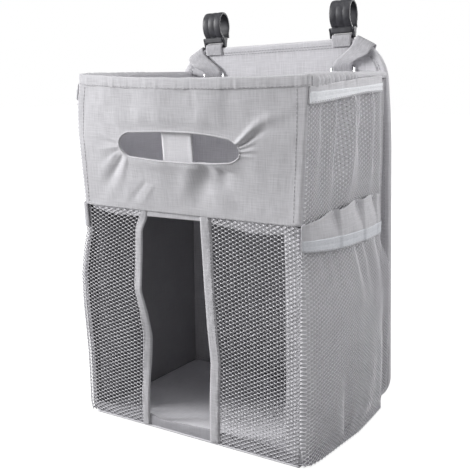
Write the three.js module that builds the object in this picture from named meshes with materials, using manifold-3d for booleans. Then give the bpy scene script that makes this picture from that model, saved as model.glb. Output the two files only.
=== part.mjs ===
// Crib organizer: a soft open-topped box on a stiff back panel, with side pockets, a front wipes slot,
// netted lower front and two hooks for a crib rail.
// Millimetres. X runs to the right, Y to the back and Z up. The origin is the middle of the base's underside.

import * as THREE from "three";
import { mergeVertices } from "three/addons/utils/BufferGeometryUtils.js";
import Module from "manifold-3d";

// Box
const BOX_WIDTH = 280;
const BOX_DEPTH = 200;
const RIM_HEIGHT = 406;
const SHELF_HEIGHT = 257;

// Sheet thicknesses and the gap between sewn or fitted pieces
const CLOTH = 1.6;
const LINING = 1.4;
const NET = 1.2;
const WEBBING = 1.2;
const ELASTIC = 1.2;
const BASE_BOARD = 3;
const WALL_BOARD = 2.4;
const SHELF_BOARD = 3;
const BACK_BOARD = 3;
const BOARD_INSET = 2;
const FIT = 0.3;

// Upper front panel
const FRONT_BOW = 15;
const FRONT_FOOT_BOW = 1;
const RIM_SPLAY = 7;
const RIM_HEM_HEIGHT = 12;
const RIM_HEM_PROUD = 0.6;
const SLOT_WIDTH = 155;
const SLOT_HEIGHT = 27;
const SLOT_CENTRE_X = -5;
const SLOT_CENTRE_HEIGHT = 330;
const SLOT_BINDING_WIDTH = 2;
const SLOT_BINDING_PROUD = 0.4;
const WIPES_STRAP_X = -8;
const WIPES_STRAP_WIDTH = 40;
const WIPES_STRAP_SLACK = 4;

// Lower front: two nets with a gap between them
const GAP_LEFT_FOOT_X = -58;
const GAP_LEFT_TOP_X = -57;
const GAP_RIGHT_FOOT_X = 27;
const GAP_RIGHT_TOP_X = 18;
const LEFT_BINDING_WIDTH = 11;
const RIGHT_BINDING_WIDTH = 13;
const BINDING_PROUD = 0.6;
const LEFT_SLACK_WAVE = 4;
const RIGHT_SLACK_WAVE = 1.5;
const SLACK_REACH = 30;
const SLACK_CREST_HEIGHT = 178;
const SLACK_HALF_WAVE = 78;
const SLACK_END_RISE = 40;
const SILL_HEIGHT = 14;
const SHELF_HEM_HEIGHT = 11;
const NET_CORNER_SEAM = 15;
const NET_EDGE = 4;
const NET_HALF_WIDTH = 11.5;
const NET_HALF_HEIGHT = 8;
const NET_STRAND = 4;

// Rim of the side walls
const CASING_CLOTH = 1.5;
const CASING_LAP = 3;
const RIM_ELASTIC_SIDE_ROOM = 0.8;

// Side pockets
const ELASTIC_WIDTH = 11.5;
const LOWER_POCKET_FOOT = 2;
const LOWER_NET_DROP_FRONT = 24;
const LOWER_NET_DROP_BACK = 39;
const LOWER_HEADER_RISE_FRONT = 1;
const LOWER_HEADER_RISE_BACK = 3;
const LOWER_BELLY = 21;
const LOWER_MOUTH = 14;
const LOWER_FLARE = 3;
const LOWER_RUFFLE = 1.8;
const UPPER_POCKET_LIFT = 4;
const UPPER_NET_DROP = 16;
const UPPER_BELLY = 8;
const UPPER_MOUTH = 9;
const UPPER_FLARE = 0.5;
const UPPER_RUFFLE = 0.8;
const RUFFLES = 7;
const MOUTH_ROUNDNESS = 0.8;
const BELLY_ROUNDNESS = 0.45;
const BELLY_DROP = 0.55;
const BELLY_FULLNESS = 0.4;

// Back panel
const BACK_HEIGHT = 440;
const BACK_FOOT = 1;
const BACK_TOP_HALF_WIDTH = 147;
const BACK_FOOT_HALF_WIDTH = 157;
const BACK_TOP_RADIUS = 52;
const BACK_FOOT_RADIUS = 36;
const BACK_BINDING_WIDTH = 11;
const PANEL_LEAN = THREE.MathUtils.degToRad(2.5);
const LEAN_PIVOT_HEIGHT = 307;
const LEAN_FOOT_HEIGHT = 300;
const LEAN_FULL_HEIGHT = 400;

// Webbing straps and their metal rings
const STRAP_WIDTH = 25;
const RING_X = 92;
const RING_BAR_HEIGHT = 407.6;
const RING_WIDTH = 32;
const RING_HEIGHT = 12;
const RING_WIRE = 2.6;
const RING_CORNER = 2.2;
const STRAP_FOOT_DROP = 40;
const STRAP_TAIL = 29;
const STRAP_LEAN = THREE.MathUtils.degToRad(28);
const STRAP_BEND = 9;
const STRAP_RISE = 2;
const WRAP_SINK = 1;

// Rail hooks and the webbing loops that carry them
const HOOK_X = 90.4;
const LOOP_FOOT_DROP = 9;
const LOOP_RISE = 1;
const HOOK_BAR_RADIUS = 1.5;
const HOOK_EAR_RADIUS = 2.2;
const HOOK_EAR_WIDTH = 3.2;
const HOOK_EAR_ROOM = 0.4;
const HOOK_BASE_DEPTH = 10;
const HOOK_BASE_RISE = 4.2;
const HOOK_BASE_HEIGHT = 6;
const HOOK_WELD = 2;
const HOOK_LENGTH = 26;
const HOOK_WALL = 3;
const HOOK_BORE_DEPTH = 19;
const HOOK_BORE_HEIGHT = 28;
const HOOK_SETBACK = 3;
const HOOK_BAND_RISE = 0.9;
const HOOK_BANDS = 3;
const HOOK_FOOT_ANGLE = THREE.MathUtils.degToRad(255);
const HOOK_LIP_ANGLE = THREE.MathUtils.degToRad(-31);
const HOOK_LIP_FLARE = THREE.MathUtils.degToRad(30);
const HOOK_LIP_NECK = 3;
const HOOK_LIP_LENGTH = 4.5;

// Divisions of curved pieces
const ARC_STEPS = 6;
const FRONT_COLUMNS = 16;
const FRONT_ROWS = 6;
const SLOT_STEPS = 8;
const STRAP_COLUMNS = 2;
const STRAP_ROWS = 10;
const BINDING_COLUMNS = 2;
const BINDING_ROWS = 18;
const POCKET_COLUMNS = 14;
const POCKET_ROWS = 8;
const RUFFLE_STEPS = 4;
const LEAN_STEPS = 4;
const EDGE_STEPS = 4;
const WRAP_STEPS = 8;
const LOOP_STEPS = 10;
const WIRE_SIDES = 8;
const WIRE_CORNER_STEPS = 4;
const BAR_SIDES = 12;
const JAW_STEPS = 20;
const BAND_STEPS = 3;

// Derived places shared by several pieces
const HALF_WIDTH = BOX_WIDTH / 2;
const FRONT_Y = -BOX_DEPTH / 2;
const BACK_Y = BOX_DEPTH / 2;
const FRONT_STACK = CLOTH + FIT + LINING;
const INNER_FRONT_Y = FRONT_Y + FRONT_STACK + FIT;
const WALL_THICKNESS = CLOTH + WALL_BOARD + LINING;
const INNER_HALF_WIDTH = HALF_WIDTH - WALL_THICKNESS;
const HEM_BOTTOM = RIM_HEIGHT - RIM_HEM_HEIGHT;
const WALL_TOP = HEM_BOTTOM + CASING_LAP;
const FLOOR_BOTTOM = CLOTH;
const BEHIND_NET_Y = FRONT_Y + NET + FIT;
const BACK_THICKNESS = 2 * CLOTH + BACK_BOARD;
const BACK_MIDDLE_Y = BACK_Y + BACK_THICKNESS / 2;
const BACK_REAR_Y = BACK_Y + BACK_THICKNESS;
const LOOP_RADIUS = BACK_THICKNESS / 2 + FIT + WEBBING / 2;
const LOOP_CENTRE = BACK_HEIGHT + LOOP_RISE;
const HOOK_BAR_HEIGHT = LOOP_CENTRE + LOOP_RADIUS - WEBBING / 2 - FIT - HOOK_BAR_RADIUS;

// Finishes: colour, roughness and metalness
const FINISHES = {
  linen: [0xc8c8cb, 0.95, 0],
  lining: [0xbdbdc0, 0.95, 0],
  net: [0xa9a9ac, 0.9, 0],
  elastic: [0xe2e2e6, 0.8, 0],
  board: [0xb9b4a8, 0.85, 0],
  webbing: [0xc2c2c6, 0.9, 0],
  plastic: [0x2b2b2e, 0.45, 0],
  chrome: [0xd8d9dc, 0.18, 1],
};

const wasm = await Module();
wasm.setup();

// Closed geometry from flat lists of points and faces, turned to face outwards
function closedGeometry(positions, faces) {
  const corner = (index) => new THREE.Vector3().fromArray(positions, 3 * index);
  let volume = 0;
  for (let i = 0; i < faces.length; i += 3) {
    volume += corner(faces[i]).dot(corner(faces[i + 1]).cross(corner(faces[i + 2])));
  }
  const order = volume < 0 ? faces.slice().reverse() : faces;
  const geometry = new THREE.BufferGeometry();
  geometry.setAttribute("position", new THREE.Float32BufferAttribute(positions, 3));
  geometry.setIndex(order);
  return geometry;
}

// Sheet of even build: place(u, v, side) gives each flat point on the outer (0) and inner (1) face
function sheet(flat, place) {
  const count = flat.points.length;
  const outer = flat.points.flatMap(([u, v]) => place(u, v, 0));
  const inner = flat.points.flatMap(([u, v]) => place(u, v, 1));
  const edges = new Set();
  const faces = [];
  for (const [a, b, c] of flat.triangles) {
    faces.push(a, b, c, count + a, count + c, count + b);
    edges.add(`${a} ${b}`).add(`${b} ${c}`).add(`${c} ${a}`);
  }
  for (const edge of edges) {
    const [a, b] = edge.split(" ").map(Number);
    if (!edges.has(`${b} ${a}`)) {
      faces.push(b, a, count + a, b, count + a, count + b);
    }
  }
  return closedGeometry([...outer, ...inner], faces);
}

// Flat grid over the unit square
function grid(columns, rows) {
  const points = [];
  const triangles = [];
  for (let j = 0; j <= rows; j++) {
    for (let i = 0; i <= columns; i++) {
      points.push([i / columns, j / rows]);
    }
  }
  for (let j = 0; j < rows; j++) {
    for (let i = 0; i < columns; i++) {
      const a = j * (columns + 1) + i;
      const b = a + columns + 1;
      triangles.push([a, a + 1, b + 1], [a, b + 1, b]);
    }
  }
  return { points, triangles };
}

// Flat ring between two outlines that have the same number of points
function ring(outline, hole) {
  const count = outline.length;
  const triangles = outline.flatMap((_, i) => {
    const next = (i + 1) % count;
    return [
      [i, next, count + next],
      [i, count + next, count + i],
    ];
  });
  return { points: [...outline, ...hole], triangles };
}

// Flat net of diamond gaps inside a solid border; the field is filled with whole diamonds
function diamondNet(width, height, border) {
  const fieldWidth = width - border.left - border.right;
  const fieldHeight = height - border.bottom - border.top;
  const columns = 2 * Math.max(1, Math.round(fieldWidth / NET_HALF_WIDTH / 2));
  const rows = 2 * Math.max(1, Math.round(fieldHeight / NET_HALF_HEIGHT / 2));
  const a = fieldWidth / columns;
  const b = fieldHeight / rows;
  const opening = 1 - (NET_STRAND / 2) * (Math.hypot(a, b) / (a * b));
  const points = [];
  const triangles = [];
  const known = new Map();
  const point = (x, z) => {
    const key = `${x.toFixed(4)} ${z.toFixed(4)}`;
    if (!known.has(key)) {
      known.set(key, points.push([x, z]) - 1);
    }
    return known.get(key);
  };
  const node = (i, j) => point(border.left + i * a, border.bottom + j * b);
  const quad = (p, q, r, s) => triangles.push([p, q, r], [p, r, s]);

  for (let i = 0; i <= columns; i++) {
    for (let j = 0; j <= rows; j++) {
      if ((i + j) % 2 === 0) {
        continue;
      }
      const sides = [[1, 0], [0, 1], [-1, 0], [0, -1]]
        .map(([di, dj]) => [i + di, j + dj, di, dj])
        .filter(([p, q]) => p >= 0 && p <= columns && q >= 0 && q <= rows);
      const corners = sides.map(([p, q]) => node(p, q));
      if (corners.length < 4) {
        triangles.push(orderedTriangle(corners, points));
        continue;
      }
      const hole = sides.map(([, , di, dj]) =>
        point(border.left + (i + opening * di) * a, border.bottom + (j + opening * dj) * b),
      );
      for (let k = 0; k < 4; k++) {
        quad(corners[k], corners[(k + 1) % 4], hole[(k + 1) % 4], hole[k]);
      }
    }
  }
  for (let j = 0; j < rows; j += 2) {
    const low = border.bottom + j * b;
    const high = border.bottom + (j + 2) * b;
    quad(point(0, low), node(0, j), node(0, j + 2), point(0, high));
    quad(node(columns, j), point(width, low), point(width, high), node(columns, j + 2));
  }
  for (let i = 0; i < columns; i += 2) {
    const near = border.left + i * a;
    const far = border.left + (i + 2) * a;
    quad(point(near, 0), point(far, 0), node(i + 2, 0), node(i, 0));
    quad(node(i, rows), node(i + 2, rows), point(far, height), point(near, height));
  }
  const right = width - border.right;
  const top = height - border.top;
  quad(point(0, 0), point(border.left, 0), node(0, 0), point(0, border.bottom));
  quad(point(right, 0), point(width, 0), point(width, border.bottom), node(columns, 0));
  quad(point(0, top), node(0, rows), point(border.left, height), point(0, height));
  quad(node(columns, rows), point(width, top), point(width, height), point(right, height));
  return { points, triangles };
}

// Three point numbers in counter-clockwise order
function orderedTriangle([p, q, r], points) {
  const [px, pz] = points[p];
  const [qx, qz] = points[q];
  const [rx, rz] = points[r];
  const turn = (qx - px) * (rz - pz) - (rx - px) * (qz - pz);
  return turn > 0 ? [p, q, r] : [p, r, q];
}

// Solid swept through frames: each frame has an origin and two axes for the section's two coordinates
function sweep(section, frames, closed = false) {
  const outline = section.map(([p, q]) => new THREE.Vector2(p, q));
  if (THREE.ShapeUtils.isClockWise(outline)) {
    outline.reverse();
  }
  const count = outline.length;
  const positions = frames.flatMap(({ origin, across, out }) =>
    outline.flatMap(({ x, y }) =>
      origin.clone().addScaledVector(across, x).addScaledVector(out, y).toArray(),
    ),
  );
  const faces = [];
  const spans = closed ? frames.length : frames.length - 1;
  for (let k = 0; k < spans; k++) {
    const here = k * count;
    const there = ((k + 1) % frames.length) * count;
    for (let i = 0; i < count; i++) {
      const next = (i + 1) % count;
      faces.push(here + i, here + next, there + next, here + i, there + next, there + i);
    }
  }
  if (!closed) {
    const last = (frames.length - 1) * count;
    for (const [a, b, c] of THREE.ShapeUtils.triangulateShape(outline, [])) {
      faces.push(c, b, a, last + a, last + b, last + c);
    }
  }
  return closedGeometry(positions, faces);
}

// Flat ribbon along stations, each with a centre and the direction of the ribbon's width
function ribbon(stations, width, thickness) {
  const section = [
    [-width / 2, -thickness / 2],
    [width / 2, -thickness / 2],
    [width / 2, thickness / 2],
    [-width / 2, thickness / 2],
  ];
  const frames = stations.map(({ centre, across }, k) => {
    const before = stations[Math.max(k - 1, 0)].centre;
    const after = stations[Math.min(k + 1, stations.length - 1)].centre;
    const along = after.clone().sub(before).normalize();
    return { origin: centre, across, out: along.cross(across).normalize() };
  });
  return sweep(section, frames);
}

// Box between two corners
function block(low, high) {
  const size = high.map((value, k) => value - low[k]);
  const geometry = new THREE.BoxGeometry(...size);
  return geometry.translate(...low.map((value, k) => value + size[k] / 2));
}

// Outline in the XZ plane pushed from one Y to another
function plateAlongY(shape, fromY, toY) {
  const geometry = new THREE.ExtrudeGeometry(shape, {
    depth: toY - fromY,
    bevelEnabled: false,
    curveSegments: ARC_STEPS,
  });
  return geometry.rotateX(Math.PI / 2).translate(0, toY, 0);
}

// Outline in the YZ plane pushed from one X to another
function plateAlongX(shape, fromX, toX) {
  const geometry = new THREE.ExtrudeGeometry(shape, {
    depth: toX - fromX,
    bevelEnabled: false,
    curveSegments: ARC_STEPS,
  });
  const turn = new THREE.Matrix4().makeBasis(
    new THREE.Vector3(0, 1, 0),
    new THREE.Vector3(0, 0, 1),
    new THREE.Vector3(1, 0, 0),
  );
  return geometry.applyMatrix4(turn).translate(fromX, 0, 0);
}

function toSolid(geometry) {
  const plain = geometry.clone();
  plain.deleteAttribute("normal");
  plain.deleteAttribute("uv");
  const merged = mergeVertices(plain, 1e-4);
  return new wasm.Manifold(
    new wasm.Mesh({
      numProp: 3,
      vertProperties: merged.attributes.position.array,
      triVerts: new Uint32Array(merged.index.array),
    }),
  );
}

function toGeometry(solid) {
  const mesh = solid.getMesh();
  const geometry = new THREE.BufferGeometry();
  geometry.setAttribute("position", new THREE.BufferAttribute(mesh.vertProperties, 3));
  geometry.setIndex(new THREE.BufferAttribute(mesh.triVerts, 1));
  return geometry;
}

function cut(geometry, cutter) {
  return toGeometry(toSolid(geometry).subtract(toSolid(cutter)));
}

function join(geometries) {
  return toGeometry(geometries.map(toSolid).reduce((whole, piece) => whole.add(piece)));
}

function addPiece(group, name, geometry, finish) {
  const [color, roughness, metalness] = FINISHES[finish];
  const material = new THREE.MeshStandardMaterial({ color, roughness, metalness });
  const mesh = new THREE.Mesh(geometry, material);
  mesh.name = name;
  group.add(mesh);
}

// How far the upper front stands forward of its corners at a place on it
function frontBow(x, z) {
  const rise = THREE.MathUtils.clamp((z - SHELF_HEIGHT) / (RIM_HEIGHT - SHELF_HEIGHT), 0, 1);
  const depth = FRONT_FOOT_BOW + (FRONT_BOW - FRONT_FOOT_BOW) * Math.sin((rise * Math.PI) / 2);
  return depth * Math.cos((Math.PI / 2) * Math.min(Math.abs(x) / frontHalfWidth(z), 1));
}

function frontHalfWidth(z) {
  return HALF_WIDTH + (RIM_SPLAY * (z - SHELF_HEIGHT)) / (RIM_HEIGHT - SHELF_HEIGHT);
}

// Slot's outline grown by a width, with its straight edges divided so that it can follow the bow
function slotOutline(grow) {
  const steps = SLOT_STEPS;
  const radius = SLOT_HEIGHT / 2 + grow;
  const reach = (SLOT_WIDTH - SLOT_HEIGHT) / 2;
  const outline = [];
  for (const side of [1, -1]) {
    for (let k = 0; k < steps; k++) {
      const turn = -Math.PI / 2 + (Math.PI * k) / steps;
      outline.push([
        SLOT_CENTRE_X + side * (reach + radius * Math.cos(turn)),
        SLOT_CENTRE_HEIGHT + side * radius * Math.sin(turn),
      ]);
    }
    for (let k = 0; k < steps; k++) {
      const x = SLOT_CENTRE_X + side * reach * (1 - (2 * k) / steps);
      outline.push([x, SLOT_CENTRE_HEIGHT + side * radius]);
    }
  }
  return outline;
}

function addBase(group) {
  const boardTop = FLOOR_BOTTOM + BASE_BOARD;
  const inside = INNER_HALF_WIDTH - FIT;
  addPiece(group, "base_cover", block([-HALF_WIDTH, FRONT_Y, 0], [HALF_WIDTH, BACK_Y, CLOTH]), "linen");
  addPiece(
    group,
    "base_board",
    block([-inside, INNER_FRONT_Y, FLOOR_BOTTOM], [inside, BACK_Y - FIT, boardTop]),
    "board",
  );
  addPiece(
    group,
    "base_lining",
    block([-inside, INNER_FRONT_Y, boardTop], [inside, BACK_Y - FIT, boardTop + LINING]),
    "lining",
  );
}

function addShelf(group) {
  const inside = INNER_HALF_WIDTH - FIT;
  const layers = [
    ["shelf_top_cover", LINING, "lining"],
    ["shelf_board", SHELF_BOARD, "board"],
    ["shelf_bottom_cover", LINING, "lining"],
  ];
  let top = SHELF_HEIGHT;
  for (const [name, thickness, finish] of layers) {
    const bottom = top - thickness;
    addPiece(group, name, block([-inside, INNER_FRONT_Y, bottom], [inside, BACK_Y - FIT, top]), finish);
    top = bottom;
  }
  const hemTop = SHELF_HEIGHT - FIT;
  addPiece(
    group,
    "shelf_hem",
    block([-inside, BEHIND_NET_Y, hemTop - SHELF_HEM_HEIGHT], [inside, BEHIND_NET_Y + LINING, hemTop]),
    "linen",
  );
}

// Place on the back panel after its upper part has leaned over to the left
function leanPoint({ x, y }) {
  const turn = PANEL_LEAN * THREE.MathUtils.smoothstep(y, LEAN_FOOT_HEIGHT, LEAN_FULL_HEIGHT);
  const rise = y - LEAN_PIVOT_HEIGHT;
  return new THREE.Vector2(
    x * Math.cos(turn) - rise * Math.sin(turn),
    LEAN_PIVOT_HEIGHT + x * Math.sin(turn) + rise * Math.cos(turn),
  );
}

function backOutline(inset) {
  const topRadius = BACK_TOP_RADIUS - inset;
  const footRadius = BACK_FOOT_RADIUS - inset;
  const foot = BACK_FOOT + inset;
  const topX = BACK_TOP_HALF_WIDTH - inset - topRadius;
  const footX = BACK_FOOT_HALF_WIDTH - inset - footRadius;
  const sideFoot = new THREE.Vector2(BACK_FOOT_HALF_WIDTH - inset, foot + footRadius);
  const sideTop = new THREE.Vector2(BACK_TOP_HALF_WIDTH - inset, BACK_HEIGHT - BACK_TOP_RADIUS);
  const side = [];
  for (let k = 0; k < EDGE_STEPS; k++) {
    const height = LEAN_FOOT_HEIGHT + ((sideTop.y - LEAN_FOOT_HEIGHT) * k) / EDGE_STEPS;
    const share = (height - sideFoot.y) / (sideTop.y - sideFoot.y);
    side.push(sideFoot.clone().lerp(sideTop, share));
  }
  const outline = new THREE.Shape();
  outline.moveTo(-footX, foot);
  outline.absarc(footX, sideFoot.y, footRadius, -Math.PI / 2, 0);
  side.forEach(({ x, y }) => outline.lineTo(x, y));
  outline.absarc(topX, sideTop.y, topRadius, 0, Math.PI / 2);
  outline.absarc(-topX, sideTop.y, topRadius, Math.PI / 2, Math.PI);
  side.reverse().forEach(({ x, y }) => outline.lineTo(-x, y));
  outline.absarc(-footX, sideFoot.y, footRadius, Math.PI, 1.5 * Math.PI);
  return new THREE.Shape(outline.getPoints(ARC_STEPS).map(leanPoint));
}

function addBackPanel(group) {
  const coverInset = BACK_BINDING_WIDTH + FIT;
  const boardFrontY = BACK_Y + CLOTH;
  const boardRearY = boardFrontY + BACK_BOARD;
  const binding = backOutline(0);
  binding.holes.push(backOutline(BACK_BINDING_WIDTH));
  addPiece(group, "back_front_cover", plateAlongY(backOutline(coverInset), BACK_Y, boardFrontY), "linen");
  addPiece(
    group,
    "back_board",
    plateAlongY(backOutline(coverInset + BOARD_INSET), boardFrontY, boardRearY),
    "board",
  );
  addPiece(group, "back_rear_cover", plateAlongY(backOutline(coverInset), boardRearY, BACK_REAR_Y), "linen");
  addPiece(group, "back_binding", plateAlongY(binding, BACK_Y, BACK_REAR_Y), "linen");
}

// Sheet that follows the bowed front, between two heights and two depths behind the front face
function bowedSheet(low, high, near, far, rows) {
  return sheet(grid(FRONT_COLUMNS, rows), (u, v, side) => {
    const z = low + (high - low) * v;
    const x = (2 * u - 1) * frontHalfWidth(z);
    return [x, FRONT_Y - frontBow(x, z) + (side === 0 ? near : far), z];
  });
}

function addUpperFront(group) {
  const slotCut = SLOT_BINDING_WIDTH + FIT;
  const cutShape = new THREE.Shape(slotOutline(slotCut).map(([x, z]) => new THREE.Vector2(x, z)));
  const cutter = plateAlongY(cutShape, FRONT_Y - 2 * FRONT_BOW - 2 * FRONT_STACK, FRONT_Y + 2 * FRONT_STACK);
  const panel = bowedSheet(SHELF_HEIGHT, HEM_BOTTOM, 0, CLOTH, FRONT_ROWS);
  const lining = bowedSheet(SHELF_HEIGHT + FIT, HEM_BOTTOM - FIT, CLOTH + FIT, FRONT_STACK, FRONT_ROWS);
  addPiece(group, "front_panel", cut(panel, cutter), "linen");
  addPiece(group, "front_lining", cut(lining, cutter), "lining");
  addPiece(
    group,
    "slot_binding",
    sheet(ring(slotOutline(SLOT_BINDING_WIDTH), slotOutline(0)), (x, z, side) => {
      const depth = side === 0 ? -SLOT_BINDING_PROUD : FRONT_STACK + SLOT_BINDING_PROUD;
      return [x, FRONT_Y - frontBow(x, z) + depth, z];
    }),
    "linen",
  );
  addPiece(
    group,
    "rim_hem",
    bowedSheet(HEM_BOTTOM, RIM_HEIGHT, -RIM_HEM_PROUD, FRONT_STACK, 1),
    "linen",
  );
  addPiece(
    group,
    "wipes_strap",
    sheet(grid(STRAP_COLUMNS, STRAP_ROWS), (u, v, side) => {
      const low = SHELF_HEIGHT + FIT;
      const z = low + (HEM_BOTTOM - FIT - low) * v;
      const x = WIPES_STRAP_X + (u - 0.5) * WIPES_STRAP_WIDTH;
      const slack = FIT + WIPES_STRAP_SLACK * Math.sin(Math.PI * v);
      return [x, FRONT_Y - frontBow(x, z) + FRONT_STACK + slack + side * WEBBING, z];
    }),
    "webbing",
  );
}

// Slack of the netted front beside the gap: it stands forward at its crests and back between them
function slackWave(fromEdge, z, amplitude) {
  const fromEnds = Math.min(z - SILL_HEIGHT, SHELF_HEIGHT - SHELF_HEM_HEIGHT - FIT - z);
  const freedom = THREE.MathUtils.clamp(fromEnds / SLACK_END_RISE, 0, 1);
  const wave = Math.cos((Math.PI * (z - SLACK_CREST_HEIGHT)) / SLACK_HALF_WAVE);
  return amplitude * freedom * wave * Math.exp(-fromEdge / SLACK_REACH);
}

// One side of the lower front: its net from the corner to the binding, and the binding along the gap
function addNettedFront(group, side, gap) {
  const name = side < 0 ? "left" : "right";
  const cornerX = side * HALF_WIDTH;
  const height = SHELF_HEIGHT - FLOOR_BOTTOM;
  const gapAt = (z) => gap.footX + ((gap.topX - gap.footX) * (z - FLOOR_BOTTOM)) / height;
  const width = Math.abs(cornerX - gap.footX) - gap.bindingWidth;
  const border = {
    left: side < 0 ? gap.cornerSeam : NET_EDGE,
    right: side < 0 ? NET_EDGE : gap.cornerSeam,
    bottom: NET_EDGE,
    top: NET_EDGE,
  };
  const place = (x, z, nearY) => {
    const fromEdge = Math.max(side * (x - gapAt(z)), 0);
    return [x, nearY - slackWave(fromEdge, z, gap.slack), z];
  };
  const net = sheet(diamondNet(width, height, border), (x, rise, face) => {
    const z = FLOOR_BOTTOM + rise;
    const share = side < 0 ? x / width : 1 - x / width;
    const seamX = gapAt(z) + side * gap.bindingWidth;
    return place(cornerX + share * (seamX - cornerX), z, FRONT_Y + face * NET);
  });
  const binding = sheet(grid(BINDING_COLUMNS, BINDING_ROWS), (u, v, face) => {
    const z = FLOOR_BOTTOM + v * height;
    const across = side < 0 ? u - 1 : u;
    const nearY = face === 0 ? FRONT_Y - BINDING_PROUD : FRONT_Y + NET;
    return place(gapAt(z) + across * gap.bindingWidth, z, nearY);
  });
  addPiece(group, `front_net_${name}`, net, "net");
  addPiece(group, `gap_binding_${name}`, binding, "linen");
}

function addLowerFront(group) {
  addNettedFront(group, -1, {
    footX: GAP_LEFT_FOOT_X,
    topX: GAP_LEFT_TOP_X,
    bindingWidth: LEFT_BINDING_WIDTH,
    cornerSeam: NET_EDGE,
    slack: LEFT_SLACK_WAVE,
  });
  addNettedFront(group, 1, {
    footX: GAP_RIGHT_FOOT_X,
    topX: GAP_RIGHT_TOP_X,
    bindingWidth: RIGHT_BINDING_WIDTH,
    cornerSeam: NET_CORNER_SEAM,
    slack: RIGHT_SLACK_WAVE,
  });
  addPiece(
    group,
    "front_sill",
    block([-HALF_WIDTH, BEHIND_NET_Y, FLOOR_BOTTOM], [HALF_WIDTH, BEHIND_NET_Y + LINING, SILL_HEIGHT]),
    "linen",
  );
}

// Right wall: cloth outside, board, lining inside, and the elastic casing over its top edge
function addSideWall(group, name) {
  const layers = [
    ["wall_cover", CLOTH, "linen"],
    ["wall_board", WALL_BOARD, "board"],
    ["wall_lining", LINING, "lining"],
  ];
  let outerX = HALF_WIDTH;
  for (const [piece, thickness, finish] of layers) {
    const innerX = outerX - thickness;
    const geometry = block([innerX, INNER_FRONT_Y, FLOOR_BOTTOM], [outerX, BACK_Y, WALL_TOP]);
    addPiece(group, `${piece}_${name}`, geometry, finish);
    outerX = innerX;
  }
  const hollowIn = INNER_HALF_WIDTH - FIT;
  const hollowOut = HALF_WIDTH + FIT;
  const hollowTop = RIM_HEIGHT - CASING_CLOTH;
  const casing = new THREE.Shape([
    new THREE.Vector2(hollowIn - CASING_CLOTH, HEM_BOTTOM),
    new THREE.Vector2(hollowIn, HEM_BOTTOM),
    new THREE.Vector2(hollowIn, hollowTop),
    new THREE.Vector2(hollowOut, hollowTop),
    new THREE.Vector2(hollowOut, HEM_BOTTOM),
    new THREE.Vector2(hollowOut + CASING_CLOTH, HEM_BOTTOM),
    new THREE.Vector2(hollowOut + CASING_CLOTH, RIM_HEIGHT),
    new THREE.Vector2(hollowIn - CASING_CLOTH, RIM_HEIGHT),
  ]);
  addPiece(group, `rim_casing_${name}`, plateAlongY(casing, INNER_FRONT_Y, BACK_Y - FIT), "linen");
  addPiece(
    group,
    `rim_elastic_${name}`,
    block(
      [INNER_HALF_WIDTH + RIM_ELASTIC_SIDE_ROOM, INNER_FRONT_Y + FIT, WALL_TOP + FIT],
      [HALF_WIDTH - RIM_ELASTIC_SIDE_ROOM, BACK_Y - 2 * FIT, hollowTop - FIT],
    ),
    "elastic",
  );
}

// Even steps drawn together towards both ends
function ease(share) {
  return (1 - Math.cos(Math.PI * share)) / 2;
}

// One pocket on the right wall: net, gathered cloth header and the elastic sewn on the header
function addPocket(group, name, shape) {
  const across = (u, roundness) => Math.pow(Math.sin(Math.PI * u), roundness);
  const depthAt = (u) => INNER_FRONT_Y + (BACK_Y - FIT - INNER_FRONT_Y) * u;
  const netTop = (u) => shape.netTopFront + (shape.netTopBack - shape.netTopFront) * u;
  const headerTop = (u) => shape.headerTopFront + (shape.headerTopBack - shape.headerTopFront) * u;
  const wallX = HALF_WIDTH + FIT;
  const bandTop = (u) => netTop(u) + FIT + ELASTIC_WIDTH;
  const mouthX = (u) => wallX + across(u, MOUTH_ROUNDNESS) * shape.mouth;
  const ruffleX = (u) => {
    const ruffle = shape.ruffle * Math.sin(2 * Math.PI * RUFFLES * u);
    return mouthX(u) + across(u, MOUTH_ROUNDNESS) * (shape.flare + ruffle);
  };
  const net = sheet(grid(POCKET_COLUMNS, POCKET_ROWS), (s, t, side) => {
    const u = ease(s);
    const v = ease(t);
    const full = Math.pow(Math.sin(Math.PI * Math.pow(v, BELLY_DROP)), BELLY_FULLNESS);
    const belly = shape.belly * full * across(u, BELLY_ROUNDNESS);
    const x = wallX + shape.mouth * v * across(u, MOUTH_ROUNDNESS) + belly;
    return [x + (1 - side) * NET, depthAt(u), shape.foot + (netTop(u) - shape.foot) * v];
  });
  const columns = RUFFLE_STEPS * RUFFLES;
  const header = sheet(grid(columns, 2), (u, v, side) => {
    const x = v < 1 ? mouthX(u) : ruffleX(u);
    const height = [netTop(u) + FIT, bandTop(u), headerTop(u)][2 * v];
    return [x + (1 - side) * CLOTH, depthAt(u), height];
  });
  const elastic = sheet(grid(columns, 1), (u, v, side) => {
    const x = mouthX(u) + CLOTH + FIT + (1 - side) * ELASTIC;
    return [x, depthAt(u), v < 1 ? netTop(u) + FIT : bandTop(u)];
  });
  addPiece(group, `${shape.level}_pocket_net_${name}`, net, "net");
  addPiece(group, `${shape.level}_pocket_header_${name}`, header, "linen");
  addPiece(group, `${shape.level}_pocket_elastic_${name}`, elastic, "elastic");
}

const LOWER_POCKET = {
  level: "lower",
  foot: LOWER_POCKET_FOOT,
  netTopFront: SHELF_HEIGHT - LOWER_NET_DROP_FRONT,
  netTopBack: SHELF_HEIGHT - LOWER_NET_DROP_BACK,
  headerTopFront: SHELF_HEIGHT + LOWER_HEADER_RISE_FRONT,
  headerTopBack: SHELF_HEIGHT + LOWER_HEADER_RISE_BACK,
  belly: LOWER_BELLY,
  mouth: LOWER_MOUTH,
  flare: LOWER_FLARE,
  ruffle: LOWER_RUFFLE,
};

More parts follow.
